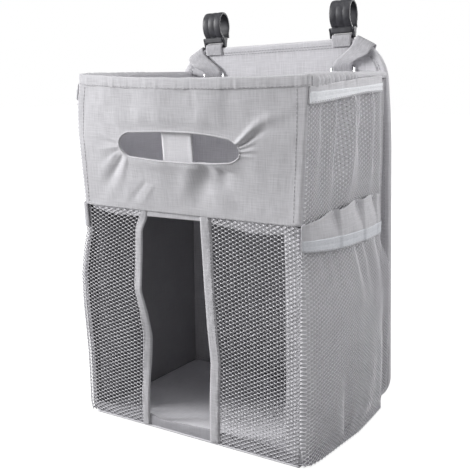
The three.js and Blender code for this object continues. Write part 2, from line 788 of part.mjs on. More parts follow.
const UPPER_POCKET = {
  level: "upper",
  foot: Math.max(LOWER_POCKET.headerTopFront, LOWER_POCKET.headerTopBack) + UPPER_POCKET_LIFT,
  netTopFront: HEM_BOTTOM - UPPER_NET_DROP,
  netTopBack: HEM_BOTTOM - UPPER_NET_DROP,
  headerTopFront: HEM_BOTTOM - FIT,
  headerTopBack: HEM_BOTTOM - FIT,
  belly: UPPER_BELLY,
  mouth: UPPER_MOUTH,
  flare: UPPER_FLARE,
  ruffle: UPPER_RUFFLE,
};

// Right strap: sewn inside the back panel, through its ring, up over the shoulder and down behind
function addStrap(group, name) {
  const faceY = BACK_Y - FIT - WEBBING / 2;
  const wire = RING_WIRE / 2;
  const clear = wire + FIT + WEBBING / 2;
  const barY = BACK_Y - FIT - wire;
  const lowBarY = faceY - clear;
  const drop = RING_HEIGHT - RING_WIRE;
  const tilt = Math.asin((barY - lowBarY) / drop);
  const lowBarHeight = RING_BAR_HEIGHT - drop * Math.cos(tilt);
  const overBarY = barY - clear - FIT;
  const upright = new THREE.Vector3(1, 0, 0);
  const radial = new THREE.Vector3(Math.sin(STRAP_LEAN), 0, Math.cos(STRAP_LEAN));
  const edgeAcross = new THREE.Vector3(Math.cos(STRAP_LEAN), 0, -Math.sin(STRAP_LEAN));
  const shoulder = new THREE.Vector3(
    BACK_TOP_HALF_WIDTH - BACK_TOP_RADIUS,
    0,
    BACK_HEIGHT - BACK_TOP_RADIUS,
  );
  const onPanel = (radius, y) => shoulder.clone().addScaledVector(radial, radius).setY(y);
  const stations = [
    { centre: new THREE.Vector3(RING_X, faceY, RING_BAR_HEIGHT - STRAP_FOOT_DROP), across: upright },
    { centre: new THREE.Vector3(RING_X, faceY, lowBarHeight), across: upright },
    { centre: new THREE.Vector3(RING_X, faceY, lowBarHeight + wire), across: upright },
    { centre: new THREE.Vector3(RING_X, overBarY, RING_BAR_HEIGHT), across: upright },
  ];
  const start = new THREE.Vector3(RING_X, overBarY, RING_BAR_HEIGHT + STRAP_RISE);
  const wrapRadius = BACK_TOP_RADIUS - WRAP_SINK;
  const end = onPanel(wrapRadius - STRAP_BEND, faceY);
  for (let k = 0; k <= LEAN_STEPS; k++) {
    const share = k / LEAN_STEPS;
    const across = upright.clone().lerp(edgeAcross, share).normalize();
    stations.push({ centre: start.clone().lerp(end, share), across });
  }
  for (let k = 0; k <= WRAP_STEPS; k++) {
    const turn = (Math.PI * k) / WRAP_STEPS;
    const centre = onPanel(
      wrapRadius + LOOP_RADIUS * Math.sin(turn),
      BACK_MIDDLE_Y - LOOP_RADIUS * Math.cos(turn),
    );
    stations.push({ centre, across: edgeAcross });
  }
  const tail = onPanel(wrapRadius - STRAP_TAIL, BACK_MIDDLE_Y + LOOP_RADIUS);
  stations.push({ centre: tail, across: edgeAcross });
  addPiece(group, `strap_${name}`, ribbon(stations, STRAP_WIDTH, WEBBING), "webbing");

  const hinge = new THREE.Group();
  hinge.position.set(RING_X, barY, RING_BAR_HEIGHT);
  hinge.rotation.x = -tilt;
  addPiece(hinge, `ring_${name}`, wireRing(), "chrome");
  group.add(hinge);
}

// Rounded rectangle of round wire, hanging from the middle of its upper bar
function wireRing() {
  const reachX = (RING_WIDTH - RING_WIRE) / 2 - RING_CORNER;
  const reachZ = (RING_HEIGHT - RING_WIRE) / 2 - RING_CORNER;
  const middleZ = -(RING_HEIGHT - RING_WIRE) / 2;
  const section = [];
  for (let k = 0; k < WIRE_SIDES; k++) {
    const turn = (2 * Math.PI * k) / WIRE_SIDES;
    section.push([(RING_WIRE / 2) * Math.cos(turn), (RING_WIRE / 2) * Math.sin(turn)]);
  }
  const frames = [];
  const corners = [[1, 1], [-1, 1], [-1, -1], [1, -1]];
  corners.forEach(([sx, sz], quarter) => {
    for (let k = 0; k <= WIRE_CORNER_STEPS; k++) {
      const turn = (Math.PI / 2) * (quarter + k / WIRE_CORNER_STEPS);
      const out = new THREE.Vector3(Math.cos(turn), 0, Math.sin(turn));
      const origin = new THREE.Vector3(sx * reachX, 0, middleZ + sz * reachZ);
      origin.addScaledVector(out, RING_CORNER);
      frames.push({ origin, across: new THREE.Vector3(0, 1, 0), out });
    }
  });
  return sweep(section, frames, true);
}

// Right hook and the webbing loop that carries it on the panel's top edge
function addHook(group, name) {
  const across = new THREE.Vector3(1, 0, 0);
  const station = (y, z) => ({ centre: new THREE.Vector3(HOOK_X, y, z), across });
  const foot = BACK_HEIGHT - LOOP_FOOT_DROP;
  const stations = [station(BACK_MIDDLE_Y - LOOP_RADIUS, foot)];
  for (let k = 0; k <= LOOP_STEPS; k++) {
    const turn = (Math.PI * k) / LOOP_STEPS;
    stations.push(
      station(BACK_MIDDLE_Y - LOOP_RADIUS * Math.cos(turn), LOOP_CENTRE + LOOP_RADIUS * Math.sin(turn)),
    );
  }
  stations.push(station(BACK_MIDDLE_Y + LOOP_RADIUS, foot));
  addPiece(group, `hook_loop_${name}`, ribbon(stations, STRAP_WIDTH, WEBBING), "webbing");

  const hinge = new THREE.Group();
  hinge.position.set(HOOK_X, BACK_MIDDLE_Y, HOOK_BAR_HEIGHT);
  addPiece(hinge, `hook_${name}`, railHook(), "plastic");
  group.add(hinge);
}

// One-piece C hook about its carrying bar: base, two ears, the bar, and the banded spring jaw
function railHook() {
  const earIn = STRAP_WIDTH / 2 + HOOK_EAR_ROOM;
  const earOut = earIn + HOOK_EAR_WIDTH;
  const half = HOOK_BASE_DEPTH / 2;
  const top = HOOK_BASE_RISE + HOOK_BASE_HEIGHT;
  const base = block([-earOut, -half, HOOK_BASE_RISE], [earOut, half, top]);
  const ear = new THREE.Shape();
  ear.moveTo(-half, HOOK_BASE_RISE);
  ear.absarc(0, 0, HOOK_EAR_RADIUS, Math.PI, 2 * Math.PI);
  ear.lineTo(half, HOOK_BASE_RISE);
  ear.lineTo(half, top);
  ear.lineTo(-half, top);
  const bar = new THREE.CylinderGeometry(HOOK_BAR_RADIUS, HOOK_BAR_RADIUS, earIn + earOut, BAR_SIDES);
  bar.rotateZ(Math.PI / 2);
  return join([
    base,
    plateAlongX(ear, earIn, earOut),
    plateAlongX(ear, -earOut, -earIn),
    bar,
    springJaw(top),
  ]);
}

// Oval jaw from the base round over the rail to a flared lip, with rounded bands along its outside
function springJaw(baseTop) {
  const semiDepth = (HOOK_BORE_DEPTH + HOOK_WALL) / 2;
  const semiHeight = (HOOK_BORE_HEIGHT + HOOK_WALL) / 2;
  const middleZ = baseTop - HOOK_WELD + HOOK_WALL + HOOK_BORE_HEIGHT / 2;
  const section = [
    [-HOOK_LENGTH / 2, -HOOK_WALL / 2],
    [HOOK_LENGTH / 2, -HOOK_WALL / 2],
  ];
  for (let k = 0; k <= HOOK_BANDS * BAND_STEPS; k++) {
    const rise = HOOK_BAND_RISE * Math.abs(Math.sin((Math.PI * k) / BAND_STEPS));
    const x = HOOK_LENGTH * (0.5 - k / (HOOK_BANDS * BAND_STEPS));
    section.push([x, HOOK_WALL / 2 - HOOK_BAND_RISE + rise]);
  }
  const across = new THREE.Vector3(1, 0, 0);
  const frames = [];
  for (let k = 0; k <= JAW_STEPS; k++) {
    const turn = HOOK_FOOT_ANGLE + ((HOOK_LIP_ANGLE - HOOK_FOOT_ANGLE) * k) / JAW_STEPS;
    const origin = new THREE.Vector3(
      0,
      HOOK_SETBACK + semiDepth * Math.cos(turn),
      middleZ + semiHeight * Math.sin(turn),
    );
    const out = new THREE.Vector3(0, Math.cos(turn) / semiDepth, Math.sin(turn) / semiHeight).normalize();
    frames.push({ origin, across, out });
  }
  const last = frames[JAW_STEPS];
  const neck = last.out.clone().applyAxisAngle(across, HOOK_LIP_FLARE / 2);
  const lip = last.out.clone().applyAxisAngle(across, HOOK_LIP_FLARE);
  const downFrom = (out) => new THREE.Vector3(0, out.z, -out.y);
  const neckOrigin = last.origin.clone().addScaledVector(downFrom(neck), HOOK_LIP_NECK);
  frames.push({ origin: neckOrigin, across, out: neck });
  const lipOrigin = neckOrigin.clone().addScaledVector(downFrom(lip), HOOK_LIP_LENGTH);
  frames.push({ origin: lipOrigin, across, out: lip });
  return sweep(section, frames);
}

const organizer = new THREE.Group();
addBase(organizer);
addBackPanel(organizer);
addShelf(organizer);
addUpperFront(organizer);
addLowerFront(organizer);
const leaning = new THREE.Group();
leaning.position.z = LEAN_PIVOT_HEIGHT;
leaning.rotation.y = -PANEL_LEAN;
organizer.add(leaning);
for (const [name, side] of [["left", -1], ["right", 1]]) {
  const half = new THREE.Group();
  half.scale.x = side;
  addSideWall(half, name);
  addPocket(half, name, LOWER_POCKET);
  addPocket(half, name, UPPER_POCKET);
  organizer.add(half);
  const leaningHalf = new THREE.Group();
  leaningHalf.scale.x = side;
  leaningHalf.position.z = -LEAN_PIVOT_HEIGHT;
  addStrap(leaningHalf, name);
  addHook(leaningHalf, name);
  leaning.add(leaningHalf);
}

export default organizer;
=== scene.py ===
"""Looks of the crib organizer: cloth, nets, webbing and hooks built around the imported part.

Lengths are in millimetres in the part's frame, and become metres where a mesh is made.
"""

import math

import bmesh
import bpy
import numpy as np
from mathutils import Matrix, Vector


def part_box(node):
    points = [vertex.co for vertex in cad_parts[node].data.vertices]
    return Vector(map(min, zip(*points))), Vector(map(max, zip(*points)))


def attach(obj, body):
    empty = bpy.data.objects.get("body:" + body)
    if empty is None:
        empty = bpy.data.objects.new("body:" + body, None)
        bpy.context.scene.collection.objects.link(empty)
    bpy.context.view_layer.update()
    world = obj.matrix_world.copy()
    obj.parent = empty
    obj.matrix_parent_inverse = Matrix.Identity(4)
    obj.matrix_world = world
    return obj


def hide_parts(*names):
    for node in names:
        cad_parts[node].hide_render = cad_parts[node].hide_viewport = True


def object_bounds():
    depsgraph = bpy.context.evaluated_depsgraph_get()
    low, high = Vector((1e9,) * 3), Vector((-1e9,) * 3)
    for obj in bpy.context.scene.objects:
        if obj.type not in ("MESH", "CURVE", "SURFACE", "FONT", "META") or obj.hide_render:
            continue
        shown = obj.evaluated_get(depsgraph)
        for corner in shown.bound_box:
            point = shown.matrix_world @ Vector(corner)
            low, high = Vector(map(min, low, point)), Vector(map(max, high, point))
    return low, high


MM = 0.001
TINY = 1e-9
NUDGE = 0.5
QUARTER_TURN = math.pi / 2
QUARTERS = ((1, 1), (-1, 1), (-1, -1), (1, -1))
SIDES = {"left": -1, "right": 1}
RIGHT = (1.0, 0.0, 0.0)
BACKWARD = (0.0, 1.0, 0.0)
FORWARD = (0.0, -1.0, 0.0)
UP = (0.0, 0.0, 1.0)

# Camera that was fitted to the photograph
EYE = (0.5203, -0.8109, 0.4127)
AZIMUTH = math.radians(32.80)
ELEVATION = math.radians(11.47)
ROLL = math.radians(-0.42)
SENSOR = 36.0
LENS = 63.61
VIEW_END = 30.0

# Lamps: name, place and size in metres, power in watts
LIGHTS = [
    ("left", (-2.7, -1.45, 1.4), 1.2, 78.0),
    ("left_low", (-2.4, -1.45, 0.8), 1.0, 46.0),
    ("side", (0.95, -0.06, 0.55), 0.5, 3.8),
    ("top", (0.0, -0.7, 2.9), 1.4, 27.0),
    ("front", (1.6, -2.3, 2.2), 1.4, 3.0),
    ("back", (0.9, 2.7, 1.3), 1.5, 55.0),
]
LIGHT_TARGET = (0.0, 0.0, 0.25)

# Room, in metres: the floor glows white to the camera, less so near the object to keep its shadow
FLOOR_REACH = 6.0
FLOOR_ROOM = 0.0005
FLOOR_GLOW = 1.26
FLOOR_SEEN_GREY = 0.9
FLOOR_LIT_GREY = 0.3
FLOOR_SHADOW = (0.35, 1.0)
FLOOR_SHADOW_GLOW = 0.7
WORLD_LIGHT = 0.06
WORLD_MIRRORED = 0.3

# Thicknesses, the gap before a lining, and the roundness of a sheet's edge against its thickness
CLOTH = 1.6
LINING = 1.4
GATHERED_CLOTH = 1.3
TAPE = 1.2
THIN_CLOTH = 0.8
LINING_GAP = 0.3
EDGE_ROUNDNESS = 0.35

# Bends of tables, creases and noise
BEND_REACH = 0.012
BEND_SAMPLES = 5
CREASE_LEAD = 0.08
CREASE_END = 1.15
CREASE_FADE = 0.75
NOISE_CELLS = 64

# Unevenness of the pieces: height, size of a cell both ways, seed
WAVES = {
    "front_broad": (0.9, (34, 42), 3),
    "front_fine": (0.35, (13, 15), 4),
    "hem_pucker": (0.5, (3.6, 1), 7),
    "hem_fold": (0.35, (9.0, 1), 8),
    "hem_rise": (0.5, (16.0, 1), 9),
    "net": (1.2, (40, 46), 11),
    "facing": (1.2, (30, 1), 14),
    "binding_pucker": (0.3, (5, 1 / 3), 15),
    "binding_fold": (0.5, (18, 1 / 2), 16),
    "sill": (0.5, (12, 1 / 2), 21),
    "shelf_hem": (0.6, (14, 1), 22),
    "wall": (0.35, (30, 34), 41),
    "wall_lining": (0.4, (36, 40), 42),
    "gather_place": (0.5, (9, 1), 51),
    "gather_height": (0.3, (12, 1 / 2), 53),
    "casing": (0.25, (16, 1 / 2), 54),
    "pocket": (1.1, (1 / 7, 1 / 6), 61),
    "header": (0.5, (1 / 14, 1 / 3), 71),
    "scallop": (0.7, (1 / 11, 1), 72),
    "elastic": (0.15, (1 / 60, 1 / 2), 74),
    "back": (0.4, (40, 48), 81),
    "back_binding": (0.05, (14, 5), 82),
}

# Points of each sheet's grid, along its rows and along its columns
POINTS = {
    "wipes_strap": (24, 60),
    "facing": (12, 70),
    "gap_binding": (14, 150),
    "sill": (160, 10),
    "shelf_hem": (160, 8),
    "slab": (60, 44),
    "wall": (70, 100),
    "wall_lining": (60, 90),
    "wall_edge": (8, 60),
    "casing": (22, 300),
    "rim_elastic": (6, 40),
    "pocket_floor": (60, 8),
    "header": (150, 18),
    "elastic": (150, 13),
}
FRONT_RAYS = 90
FRONT_RINGS = 72
FRONT_CROWDING = 1.1
BACK_COLUMNS = 80
BACK_ROWS = 90
BACK_STEPS = 420
BACK_ARC_STEPS = 60
HEM_STEPS = 300
LIP_STEPS = 60
LIP_SIDES = 12
SEAM_STEPS = 60
WIRE_SIDES = 16
RIBBON_COLUMNS = 10
STRAP_STEPS = 130
LOOP_STEPS = 80
JAW_STEPS = 90
BAND_STEPS = 12
ROUND_STEPS = 4

# Upper front
FRONT_BOW = 15.0
FRONT_FOOT_BOW = 1.0
RIM_SPLAY = 7.0
RIM_SAG = 4.0
RIM_SAG_START = 70.0
RIM_SAG_ROUNDNESS = 0.7
CORNER_RADIUS = 2.0
CORNER_WRAP = 0.6
CORNER_PULL_START = 60.0
CORNER_PULL_EASE = 70.0
BULGE_REACH = 50.0

# Layers of the upper front: node, look, depth behind its face, thickness, what it rests on
FRONT_LAYERS = [
    ("front_panel", "linen", 0.0, CLOTH, ["rim_hem", "shelf_hem"]),
    ("front_lining", "lining", CLOTH + LINING_GAP, LINING, ["front_panel"]),
]

# Seams that hold the upper front flat: how far inside the sides, the foot and the rim it comes free
FRONT_SIDE_EASE = 14.0
FRONT_FOOT_EASE = 10.0
FRONT_RIM_EASE = 12.0

# Stitches along the sides of the upper front, at the shelf and at the rim: inset, room at the end
SIDE_STITCH_INSET = (6.0, 12.0)
SIDE_STITCH_ROOM = (3.0, 1.0)

# How far the front's corners stand aside, by height
LEFT_CORNER = [
    (0, -4.0), (8, -7.5), (72, -8.3), (105, -10.5), (137, -13.0), (172, -13.5), (195, -10.0), (210, -7.2),
    (226, -2.4), (240, -3.5), (257, -5.0), (300, -6.6), (345, -8.0), (370, -6.2), (395, -1.5), (410, 0.0),
]
RIGHT_CORNER = [(0, 0.0), (150, 0.0), (215, -1.5), (257, -3.2), (300, -2.0), (350, 0.0), (410, 0.0)]

# Slot: height against the part's slot and fall of its middle line, by place along it
SLOT_GAPE = [(-1.0, 0.88), (-0.75, 0.98), (-0.3, 1.12), (0.2, 1.14), (0.6, 1.02), (1.0, 0.76)]
SLOT_FALL = [(-1.0, 0.0), (0.4, 0.0), (1.0, -2.0)]
SLOT_DRAW_FADE = 0.8
SLOT_DRAW_END = 1.35
SLOT_DRAW_EASE = 0.35
SLOT_MARGIN = 1.0
SLOT_LIP = 2.0
LIP_RADII = (1.25, 2.1)

# Swells beside the slot: way up or down, distance from its edge, height outwards
SLOT_SWELLS = [(-1, 3.0, 2.4), (1, 4.0, -1.6)]
SLOT_SWELL_SPREAD = 9.0
SLOT_SWELL_REACH = 22.0
SLOT_SWELL_EASE = 40.0

# Creases of the upper front: start, end, width at both ends, height outwards
FRONT_CREASES = [
    ((70, 341), (112, 367), (2.4, 7.5), 5.0),
    ((104, 362), (130, 370), (4.5, 6.0), 1.0),
    ((71, 338), (110, 359), (2.4, 7.0), -4.0),
    ((72, 336), (96, 343), (1.5, 3.0), 1.3),
    ((72, 333.5), (96, 337), (1.3, 2.6), -1.0),
    ((72, 331), (95, 331), (1.3, 2.6), 1.2),
    ((72, 328.5), (94, 327), (1.3, 2.6), -1.0),
    ((71, 326), (92, 323), (1.5, 3.0), 1.2),
    ((70, 323), (90, 315), (1.5, 4.0), -0.9),
    ((-84, 333), (-122, 344), (1.6, 4.0), 1.0),
    ((-85, 330), (-118, 334), (1.4, 3.5), -0.9),
    ((-85, 326), (-120, 321), (1.5, 4.0), 1.2),
    ((-84, 322), (-114, 309), (1.6, 4.5), -1.0),
    ((-80, 315), (-112, 276), (2.2, 6.5), -3.0),
    ((-74, 313), (-98, 268), (2.5, 7.0), 1.7),
    ((-88, 318), (-122, 286), (2.5, 7.0), 1.2),
    ((36, 313), (14, 262), (9.0, 18.0), -8.0),
    ((54, 309), (44, 280), (9.0, 16.0), -6.0),
    ((12, 312), (-4, 268), (8.0, 14.0), 2.4),
    ((-50, 290), (-82, 258), (3.0, 5.0), -1.4),
    ((-40, 286), (-66, 258), (3.0, 5.0), 0.9),
    ((-86, 346), (-124, 380), (4.0, 9.0), -1.4),
    ((20, 392), (24, 352), (3.0, 8.0), -0.9),
    ((60, 390), (52, 350), (4.0, 9.0), -0.8),
    ((-98, 392), (-92, 356), (3.0, 7.0), -0.7),
]
CREASE_STRENGTH = 0.55

# Rim hem and the strap behind the slot
HEM_THICKNESS = 4.2
HEM_CORNER = 1.7
HEM_GROWTH = 0.6
HEM_RETURN = 9.0
HEM_SINK = 1.5
HEM_LAP = 2.0
HEM_PUCKER_END = 0.6
HEM_STITCH_RISE = 1.9
HEM_STITCH_STAND = 0.6
STRIP_STAND = 4.2
STRIP_SLACK = 4.0
STRIP_HEM_PLACE = 17.5
STRIP_HEM_SPREAD = 1.8
STRIP_HEM_RISE = 0.45

# Edges of the gap by height: height, place across, stand forward of the front
GAP_EDGES = {
    "left": [
        (0, -58.0, 0.0), (17, -58.0, 0.0), (45, -57.5, -0.8), (86, -55.5, -3.6), (110, -54.7, -4.6),
        (136, -57.0, -1.2), (166, -61.4, 5.0), (217, -59.6, 2.4), (235, -59.4, 2.2), (247, -55.5, -1.5),
        (258, -53.0, -1.5),
    ],
    "right": [
        (0, 27.0, 0.0), (46, 26.5, 0.0), (70, 26.8, -0.8), (95, 27.6, -1.3), (135, 24.6, -0.3),
        (181, 21.8, 0.0), (220, 19.4, 0.0), (258, 17.2, 0.0),
    ],
}
BINDING_WIDTH = {"left": 11.5, "right": 13.5}
BINDING_PROUD = 1.3
BINDING_SQUARENESS = 6
BINDING_EDGE = 0.2
BINDING_FOOT = 2.0
BINDING_TOP_LAP = 0.5
BINDING_STITCH_COLUMN = 11

# Nets of the lower front
NET_LAP = 3.0
NET_FOOT = 2.0
NET_STAND = 0.6
NET_CORNER = 3.0
NET_CORNER_ROOM = 0.5
NET_SLACK_REACH = 34.0
NET_SEAM = 4.0
NET_FOOT_EASE = 30.0
NET_TOP_EASE = 6.0
NET_SIDE_EASE = 20.0
FACING_WIDTH = {"left": 5.0, "right": 16.0}
FACING_INSET = 1.0
FACING_DEPTH = 1.5
EDGE_FOOT = 4.0
EDGE_ROOM = 2.0

# Hem below the shelf and sill, seen through the nets: place across, height of the edge
SHELF_HEM_EDGE = [
    (-134, 253.5), (-120, 251), (-98, 248.5), (-66, 249.5), (-50, 250.5), (16, 251.5),
    (33, 250.5), (55, 247.5), (80, 244.5), (100, 245), (119, 247), (134, 246),
]
SILL_TOP = [(-140, 13), (-58, 14.5), (-44, 10.5), (-11, 12), (25, 14.5), (140, 13)]
SILL_THICKNESS = 1.8
SILL_ROLL = 1.2
SILL_ROLL_SHARE = 0.5
SILL_END_ROOM = 1.0

# Yarn nets: half diagonals of a mesh, shares of the hole in them, half thickness of the yarn.
# The steps go round a mesh in thirds of its half diagonals
MESH_HALF_WIDTH = 4.1
MESH_HALF_HEIGHT = 2.18
MESH_STEPS = [
    (3, 0), (2, 1), (1, 2), (0, 3), (-1, 2), (-2, 1), (-3, 0), (-2, -1), (-1, -2), (0, -3), (1, -2), (2, -1),
]
MESH_THIRDS = 3
MESH_SPARE_ROWS = 4
HOLE_SHARE_ACROSS = 0.60
HOLE_SHARE_UP = 0.79
YARN_RISE = 0.42

# Level sheets: node, look, slot, what it rests on, height of its unevenness, seed
SLABS = [
    ("base_cover", "linen", "linen", "base_board", 0.0, 31),
    # Painted light: the two floors take the paler floor lining
    ("base_lining", "floor_lining", "lining", "base_board", 0.5, 32),
    ("shelf_top_cover", "floor_lining", "lining", "shelf_board", 0.6, 33),
    ("shelf_bottom_cover", "lining", "lining", "shelf_board", 0.0, 34),
]
SLAB_CELL = 42.0
SLAB_EASE = 20.0

# Side walls
WALL_FRONT_ROOM = 2.2
WALL_SEAM = 10.0
WALL_EASE = 20.0
WALL_EDGE_STAND = 0.6
WALL_EDGE_ROOM = (0.2, 0.5)

# Gathered casing at the rim of the side walls
CASING_FRONT_ROOM = 4.0
CASING_BACK_ROOM = 0.5
CASING_TOP_ROOM = 0.2
CASING_FOOT = (-2.0, 5.0)
CASING_FOOT_START = -60.0
CASING_FOOT_EASE = 100.0
CASING_INNER_STAND = 1.4
CASING_OUTER_STAND = 1.3
CASING_CROWN = 3
CASING_ARCH_RADIUS = 3.4
CASING_STITCH_STAND = (0.7, 0.8)
GATHER_END = 24.0
GATHER_END_EASE = 18.0
GATHER_START = 2.0
GATHER_START_EASE = 8.0
GATHER_HEIGHT = 8.0
GATHER_PITCH = 9.5
GATHER_SHARPNESS = 0.6
GATHER_LEVEL = 0.55
GATHER_MEAN = 0.8
GATHER_STAND = 0.3
GATHER_HELD = 0.25
GATHER_OVER = (0.5, 0.3)
GATHER_LIFT = 0.2
RIM_ELASTIC_START = -86.0

# Side pockets: places along the wall, heights by share of the way along it, fullness and folds.
# A fold runs from (u, v) to (u, v), with its width in u and its height outwards
POCKETS = {
    "lower": {
        "turn": 0.025,
        "front": -101.0,
        "back": 99.3,
        "mouth_back": 93.0,
        "hold": 14.0,
        "foot": 2.0,
        "net_top": [(0.0, 233.0), (0.27, 227.4), (0.58, 225.6), (0.95, 221.0), (1.0, 220.3)],
        "band_top": [(0.0, 242.8), (0.3, 239.6), (0.58, 237.6), (0.95, 234.4), (1.0, 234.0)],
        "header_top": [(0.0, 257.5), (0.1, 260.0), (0.25, 265.0), (0.55, 270.0), (0.85, 270.0), (1.0, 263.0)],
        "belly": 20.0,
        "mouth": 14.0,
        "splays": False,
        "scallop": 0.9,
        "lean": 3.0,
        "tucks": [0.0, 0.31, 0.60, 0.85, 1.0],
        "tuck_depth": 8.0,
        # Painted shade: the lower pocket's header and elastic take darker copies of their cloths
        "header_look": "wall",
        "elastic_look": "lower_elastic",
        "folds": [
            ((0.40, 0.02), (0.30, 0.42), 0.030, -5.0),
            ((0.30, 0.02), (0.18, 0.40), 0.050, 2.0),
            ((0.50, 1.00), (0.60, 0.66), 0.035, -3.8),
            ((0.62, 1.00), (0.70, 0.62), 0.040, -3.0),
            ((0.40, 1.00), (0.46, 0.70), 0.040, 1.6),
            ((0.24, 1.00), (0.28, 0.72), 0.030, -2.4),
            ((0.14, 1.00), (0.20, 0.78), 0.030, -2.0),
            ((0.93, 0.10), (0.90, 0.66), 0.035, -4.2),
            ((0.84, 0.98), (0.86, 0.70), 0.035, -2.0),
            ((0.62, 0.06), (0.56, 0.50), 0.090, 2.4),
        ],
    },
    "upper": {
        "turn": 0.0,
        "front": -99.0,
        "back": 88.0,
        "mouth_back": 87.0,
        "hold": 0.0,
        "foot": 250.0,
        "net_top": [(0.0, 378.2), (0.58, 384.6), (0.66, 385.4), (1.0, 384.6)],
        "band_top": [(0.0, 388.3), (0.6, 391.0), (1.0, 393.3)],
        "header_top": [(0.0, 393.8), (0.6, 399.6), (1.0, 401.0)],
        "belly": 8.0,
        "mouth": 7.0,
        "splays": True,
        "scallop": 0.0,
        "lean": 0.0,
        "tucks": [0.0, 0.18, 0.36, 0.52, 1.0],
        "tuck_depth": 1.2,
        "header_look": "linen",
        "elastic_look": "elastic",
        "folds": [
            ((0.17, 1.00), (0.14, 0.10), 0.045, -5.5),
            ((0.36, 1.00), (0.29, 0.05), 0.045, -9.0),
            ((0.46, 1.00), (0.38, 0.10), 0.045, 6.0),
            ((0.67, 1.00), (0.60, 0.20), 0.050, -7.0),
            ((0.86, 1.00), (0.84, 0.10), 0.040, -4.5),
            ((0.76, 1.00), (0.74, 0.20), 0.045, 3.5),
        ],
    },
}

# Net of a pocket: stand off the wall, roundness, fullness, and shares at which its seams let it go
POCKET_STAND = 0.7
MOUTH_STAND = 0.8
MOUTH_ROUNDNESS = 0.8
MOUTH_DRAW_START = 0.75
BELLY_ROUNDNESS = {-1: 0.75, 1: 0.36}
BELLY_DROP = 0.55
BELLY_FULLNESS = (0.26, 0.6)
BELLY_FULLNESS_END = 0.5
FOLD_FAN = 1.6
LEFT_FOLD_SHIFT = 0.04
POCKET_SIDE_EASE = 0.06
POCKET_FOOT_EASE = 0.05
HOLD_START = 0.55
HOLD_TOP_EASE = 0.22
HOLD_FOOT_EASE = 0.12
HOLD_SHARPNESS = 4
NET_GATHER = 1.35

# How far a lower pocket reaches round the front corner, by height
POCKET_WRAP = [(0, 0.5), (60, 1.5), (120, 2.5), (200, 4.2), (240, 5.0), (260, 4.6)]

# How far the right lower pocket's foot stands off the wall, by the share of the way along it
POCKET_FOOT = [(0, 4), (0.04, 10), (0.13, 12.8), (0.34, 15), (0.55, 17.5), (0.75, 15), (0.93, 12), (1, 5)]
FOOT_BLEND = 0.14
FLOOR_ENDS = (0.01, 0.99)
FLOOR_SHARE = 0.02
FLOOR_RISE = 1.5
FLOOR_LAP = 1.0
FLOOR_THICKNESS = 1.0

# Headers and elastics of the pockets
HEADER_LIFT = 1.9
HEADER_SEWN_LIFT = 0.3
HEADER_ROUNDNESS = 0.6
HEADER_SIDE_EASE = 0.05
HEADER_LAP = 1.5
LEFT_TUCK_SHIFT = 0.03
TUCK_EDGE = 0.024
TUCK_START = 0.35
TUCK_LEAST = 0.25
LEAN_START = 0.3
SCALLOP_WAVES = 4.5
SCALLOP_SHARE = 0.6
SCALLOP_ROUNDNESS = 0.5
ELASTIC_LAP = 0.4
ELASTIC_INNER = 0.85
ELASTIC_OUTER = 0.95
ELASTIC_RISE = 0.9
ELASTIC_GROOVE = 0.45
ELASTIC_GROOVE_PLACE = 0.52
ELASTIC_GROOVE_SPREAD = 0.05
ELASTIC_SPAN = 24.0

# Back panel
BACK_HEIGHT = 440.0
BACK_TOP_HALF_WIDTH = 147.0
BACK_FOOT_HALF_WIDTH = 157.0
BACK_TOP_RADIUS = 52.0
BACK_FOOT_RADIUS = 36.0
BACK_PUFF = 1.0
BACK_PUFF_EASE = 26.0
BACK_PUFF_MEAN = 0.6
BACK_SINK = 0.2
BACK_BINDING_WIDTH = 11.0
BACK_BINDING_LAP = 1.5
BACK_BINDING_GROWTH = 0.8
BACK_BINDING_CORNER = 3.0
BACK_BINDING_INNER_CORNER = 0.6
BACK_BINDING_STEPS = 5
BACK_BINDING_TAPER = 0.8
PANEL_LEAN = math.radians(2.5)
LEAN_PIVOT_HEIGHT = 307.0
LEAN_FOOT_HEIGHT = 300.0
LEAN_FULL_HEIGHT = 400.0

# Rows of stitches on the back panel: inset from its edge, face of the panel
BACK_STITCHES = [(7.0, -1), (10.0, -1), (9.0, 1)]

# Straps and rings: a strap runs up the panel's face, then before the ring's bar, and over the panel's edge.
# Its places below the bar are given by their drop, and those at the ring by stand before the bar and drop
STRAP_WIDTH = 25.0
STRAP_LEAN = math.radians(28)
STRAP_BULGE = 2.0
STRAP_TWIST = 0.2
STRAP_EASE = 0.6
STRAP_STAND = 0.9
STRAP_FOOT_DROPS = (40.0, 24.0, 9.2)
STRAP_AT_RING = [(0.8, 4.6), (2.5, 0.0)]
STRAP_RISE = 2.0
STRAP_RISE_STAND = 2.7
STRAP_SHARES = (0.2, 0.4, 0.6, 0.8)
STRAP_END_RADIUS = 46.0
STRAP_END_STAND = 1.2
STRAP_TURN_START = 0.2 * math.pi
STRAP_TURN_POINTS = 8
STRAP_TURN_SINK = 1.2
STRAP_TURN_ROOM = 1.1
STRAP_TAIL_RADII = (34.0, 20.0)
RING_X = 92.0
RING_BAR_HEIGHT = 407.6
RING_Y = 98.4
RING_WIDTH = 32.0
RING_HEIGHT = 12.0
RING_WIRE = 2.6
RING_CORNER = 2.2
RING_CORNER_POINTS = 10
RING_FORWARD = 1.5

